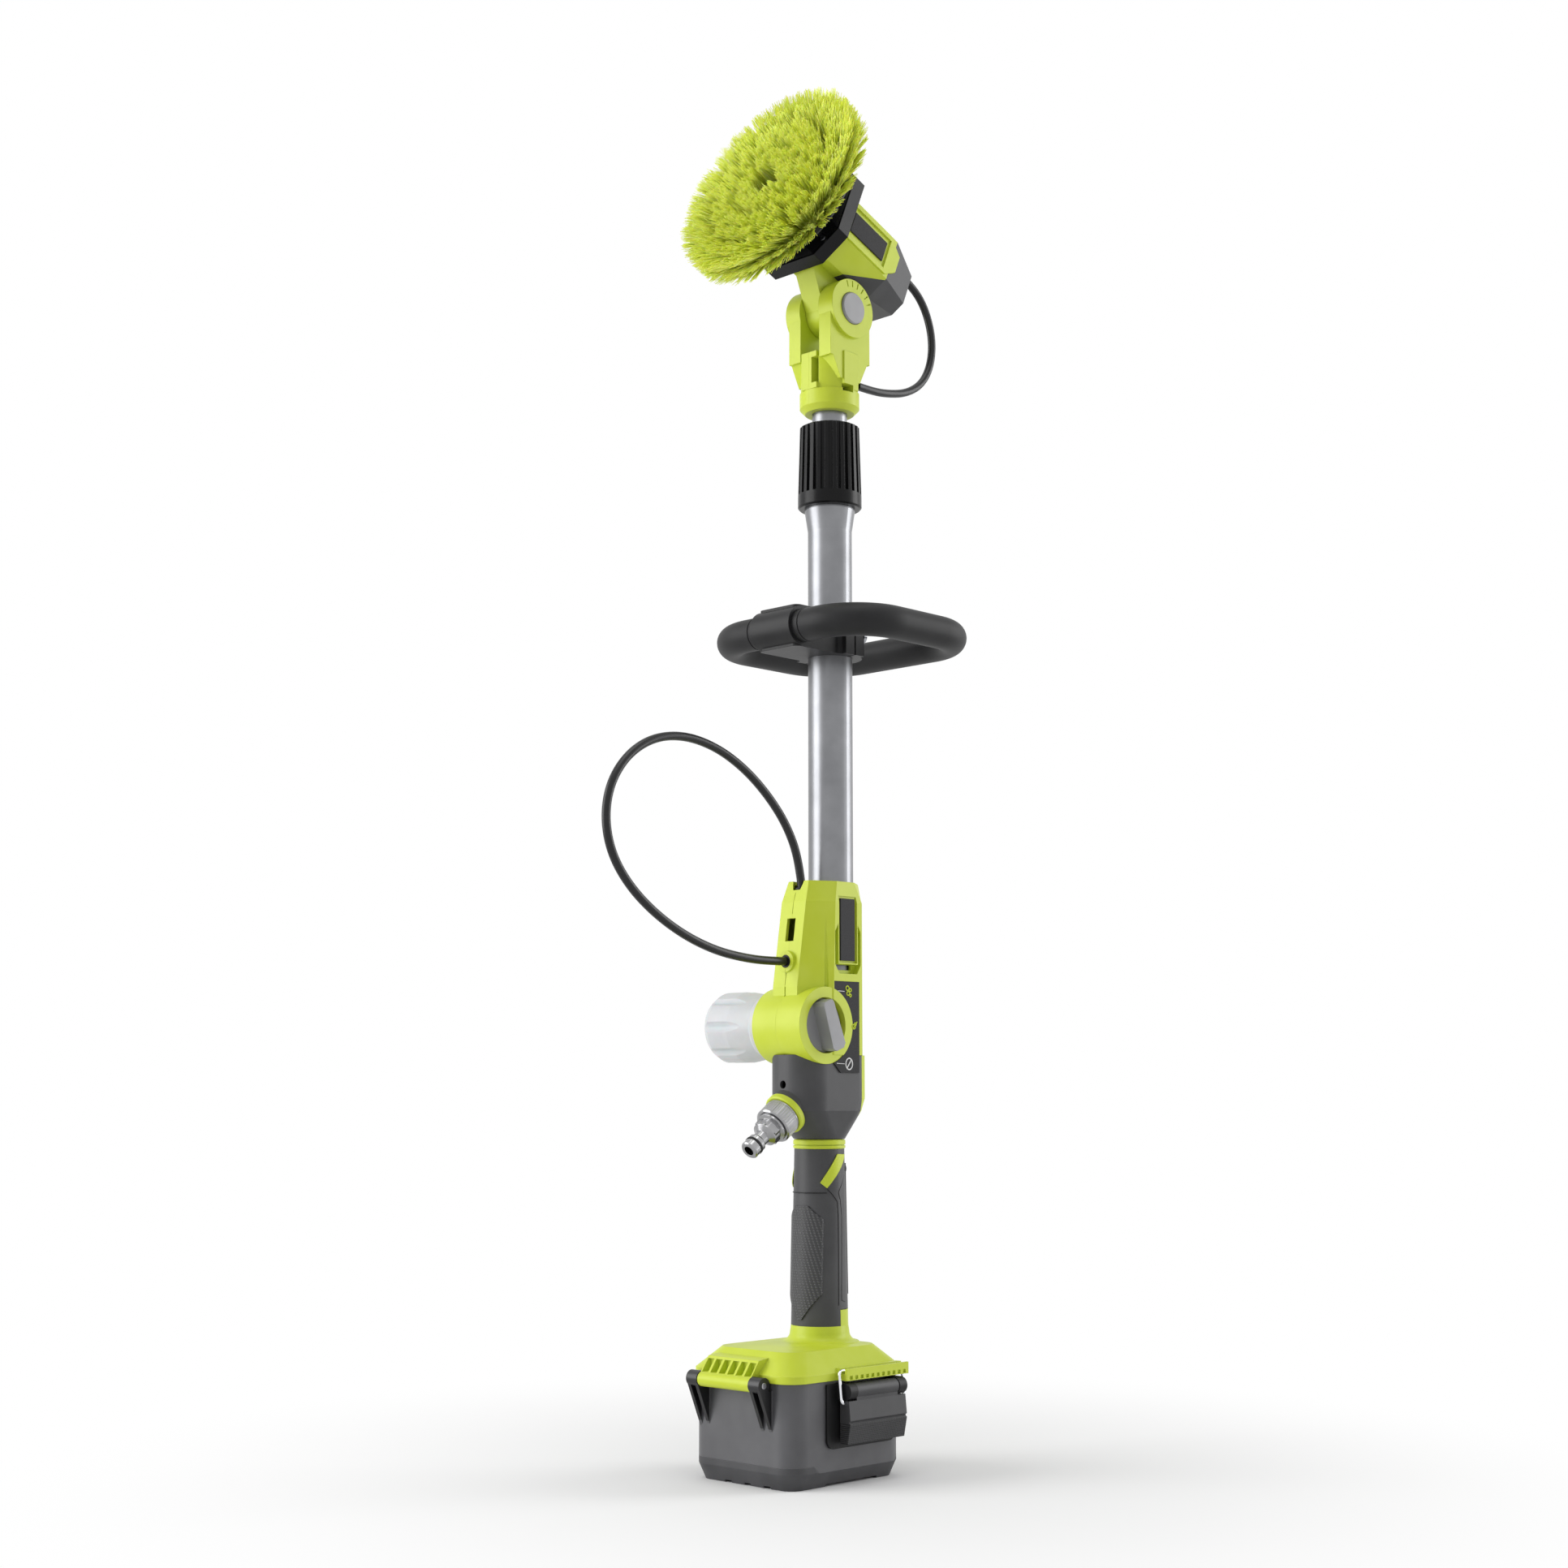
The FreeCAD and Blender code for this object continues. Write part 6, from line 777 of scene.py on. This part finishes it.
# %% Seam of the housing
# The two halves meet in a fine line down the front. A ray finds the skin, so the line follows the real shape.
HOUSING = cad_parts["housing_left"]


def on_skin(piece, start, aim):
    found, place, _, _ = piece.ray_cast(Vector(start) * MM, Vector(aim).normalized())
    return tuple(place / MM) if found else None


def seam_down(heights):
    return [on_skin(HOUSING, (-0.3, -120, height), (0, 1, 0)) for height in heights]


# The seam is a cord of darker lime: painted shade of the groove between the halves.
seam_lime_painted_shade = moulded("lime_abs_in_seam_shade", "#9AA72C", "#A9B53A", 0.5, 0.35, 0.02,
                    Specular_IOR_Level=0.2)
seam_runs = [seam_down((372, 368, 364, 358)), seam_down((321, 318, 315, 311))]
join_lines("housing_seam", seam_runs, 0.2 * MM, seam_lime_painted_shade)

# %% [markdown]
# ## Floor, background and light
# The photograph is a studio cut-out: white all round, soft light from the upper left and a weaker fill from
# the right. The floor is pale and fades to white away from the tool, so that it keeps the tool's shadow and
# has no edge. The world is white for the camera, for reflections and for light through the bottle, and plain
# grey as a lamp.

# %% Which rays see the white


def seeing_ray(tree):
    """1 for a ray that the camera, a reflection or a clear piece sends out, and 0 for a ray of soft light."""
    path = add_node(tree, "LightPath")
    seen = path.outputs["Is Camera Ray"]
    for kind in ("Is Glossy Ray", "Is Transmission Ray"):
        seen = add_node(tree, "Math", None, {0: seen, 1: path.outputs[kind]}, operation="MAXIMUM").outputs["Value"]
    return seen


# %% Pale floor
FLOOR_SIDE = 16.0
FADE_START, FADE_END = 0.10, 0.55  # distances from the tool, in metres
bpy.ops.object.select_all(action="DESELECT")
bpy.ops.mesh.primitive_grid_add(x_subdivisions=8, y_subdivisions=8, size=FLOOR_SIDE, location=(0, 0, 0))
floor = bpy.context.view_layer.objects.active
floor.name = "studio_floor"
pale_floor, tree, shader = start_material("pale_painted_floor", Roughness=0.9)
shader.inputs["Base Color"].default_value = srgb("#F4F4F4")
place = add_node(tree, "TexCoord").outputs["Object"]
far = add_node(tree, "VectorMath", None, {0: place}, operation="LENGTH")
fade = add_node(tree, "MapRange", {"From Min": FADE_START, "From Max": FADE_END},
                {"Value": far.outputs["Value"]}, interpolation_type="SMOOTHSTEP")
factor = add_node(tree, "Math", None, {0: fade.outputs["Result"], 1: seeing_ray(tree)}, operation="MULTIPLY")
white = add_node(tree, "Emission", {"Color": (1, 1, 1, 1), "Strength": 1.0})
blend = add_node(tree, "MixShader", None, {0: factor.outputs["Value"], 1: shader.outputs["BSDF"],
                                           2: white.outputs["Emission"]})
tree.links.new(blend.outputs["Shader"], tree.nodes["Material Output"].inputs["Surface"])
dress(floor, pale_floor)

# %% White background
AMBIENT_STRENGTH = 0.4
world = bpy.data.worlds.new("white_studio")
world.use_nodes = True
bpy.context.scene.world = world
tree = world.node_tree
ambient = tree.nodes["Background"]
ambient.inputs["Color"].default_value = (1, 1, 1, 1)
ambient.inputs["Strength"].default_value = AMBIENT_STRENGTH
shown = add_node(tree, "Background", {"Color": (1, 1, 1, 1), "Strength": 1.0})
mix = add_node(tree, "MixShader", None, {0: seeing_ray(tree), 1: ambient.outputs["Background"],
                                         2: shown.outputs["Background"]})
tree.links.new(mix.outputs["Shader"], tree.nodes["World Output"].inputs["Surface"])

# %% Soft lamps


def soft_lamp(name, place, aim, size, watts):
    light = bpy.data.lights.new(name, "AREA")
    light.shape = "RECTANGLE"
    light.size, light.size_y = size
    light.energy = watts
    lamp = bpy.data.objects.new(name, light)
    lamp.location = place
    lamp.rotation_euler = (Vector(aim) - Vector(place)).to_track_quat("-Z", "Y").to_euler()
    bpy.context.scene.collection.objects.link(lamp)


MIDDLE_OF_TOOL = (0, 0, 0.45)
soft_lamp("window_left", (-1.25, -1.75, 1.0), MIDDLE_OF_TOOL, (1.5, 2.0), 38)
soft_lamp("fill_right", (1.3, 2.0, 1.0), MIDDLE_OF_TOOL, (1.2, 1.9), 28)
soft_lamp("sky_panel", (0.3, -0.4, 2.6), (0, 0, 0.4), (1.6, 1.6), 16)
print("lamps:", len(bpy.data.lights))

# %% Plain view settings
bpy.context.scene.view_settings.view_transform = "Standard"
bpy.context.view_layer.update()
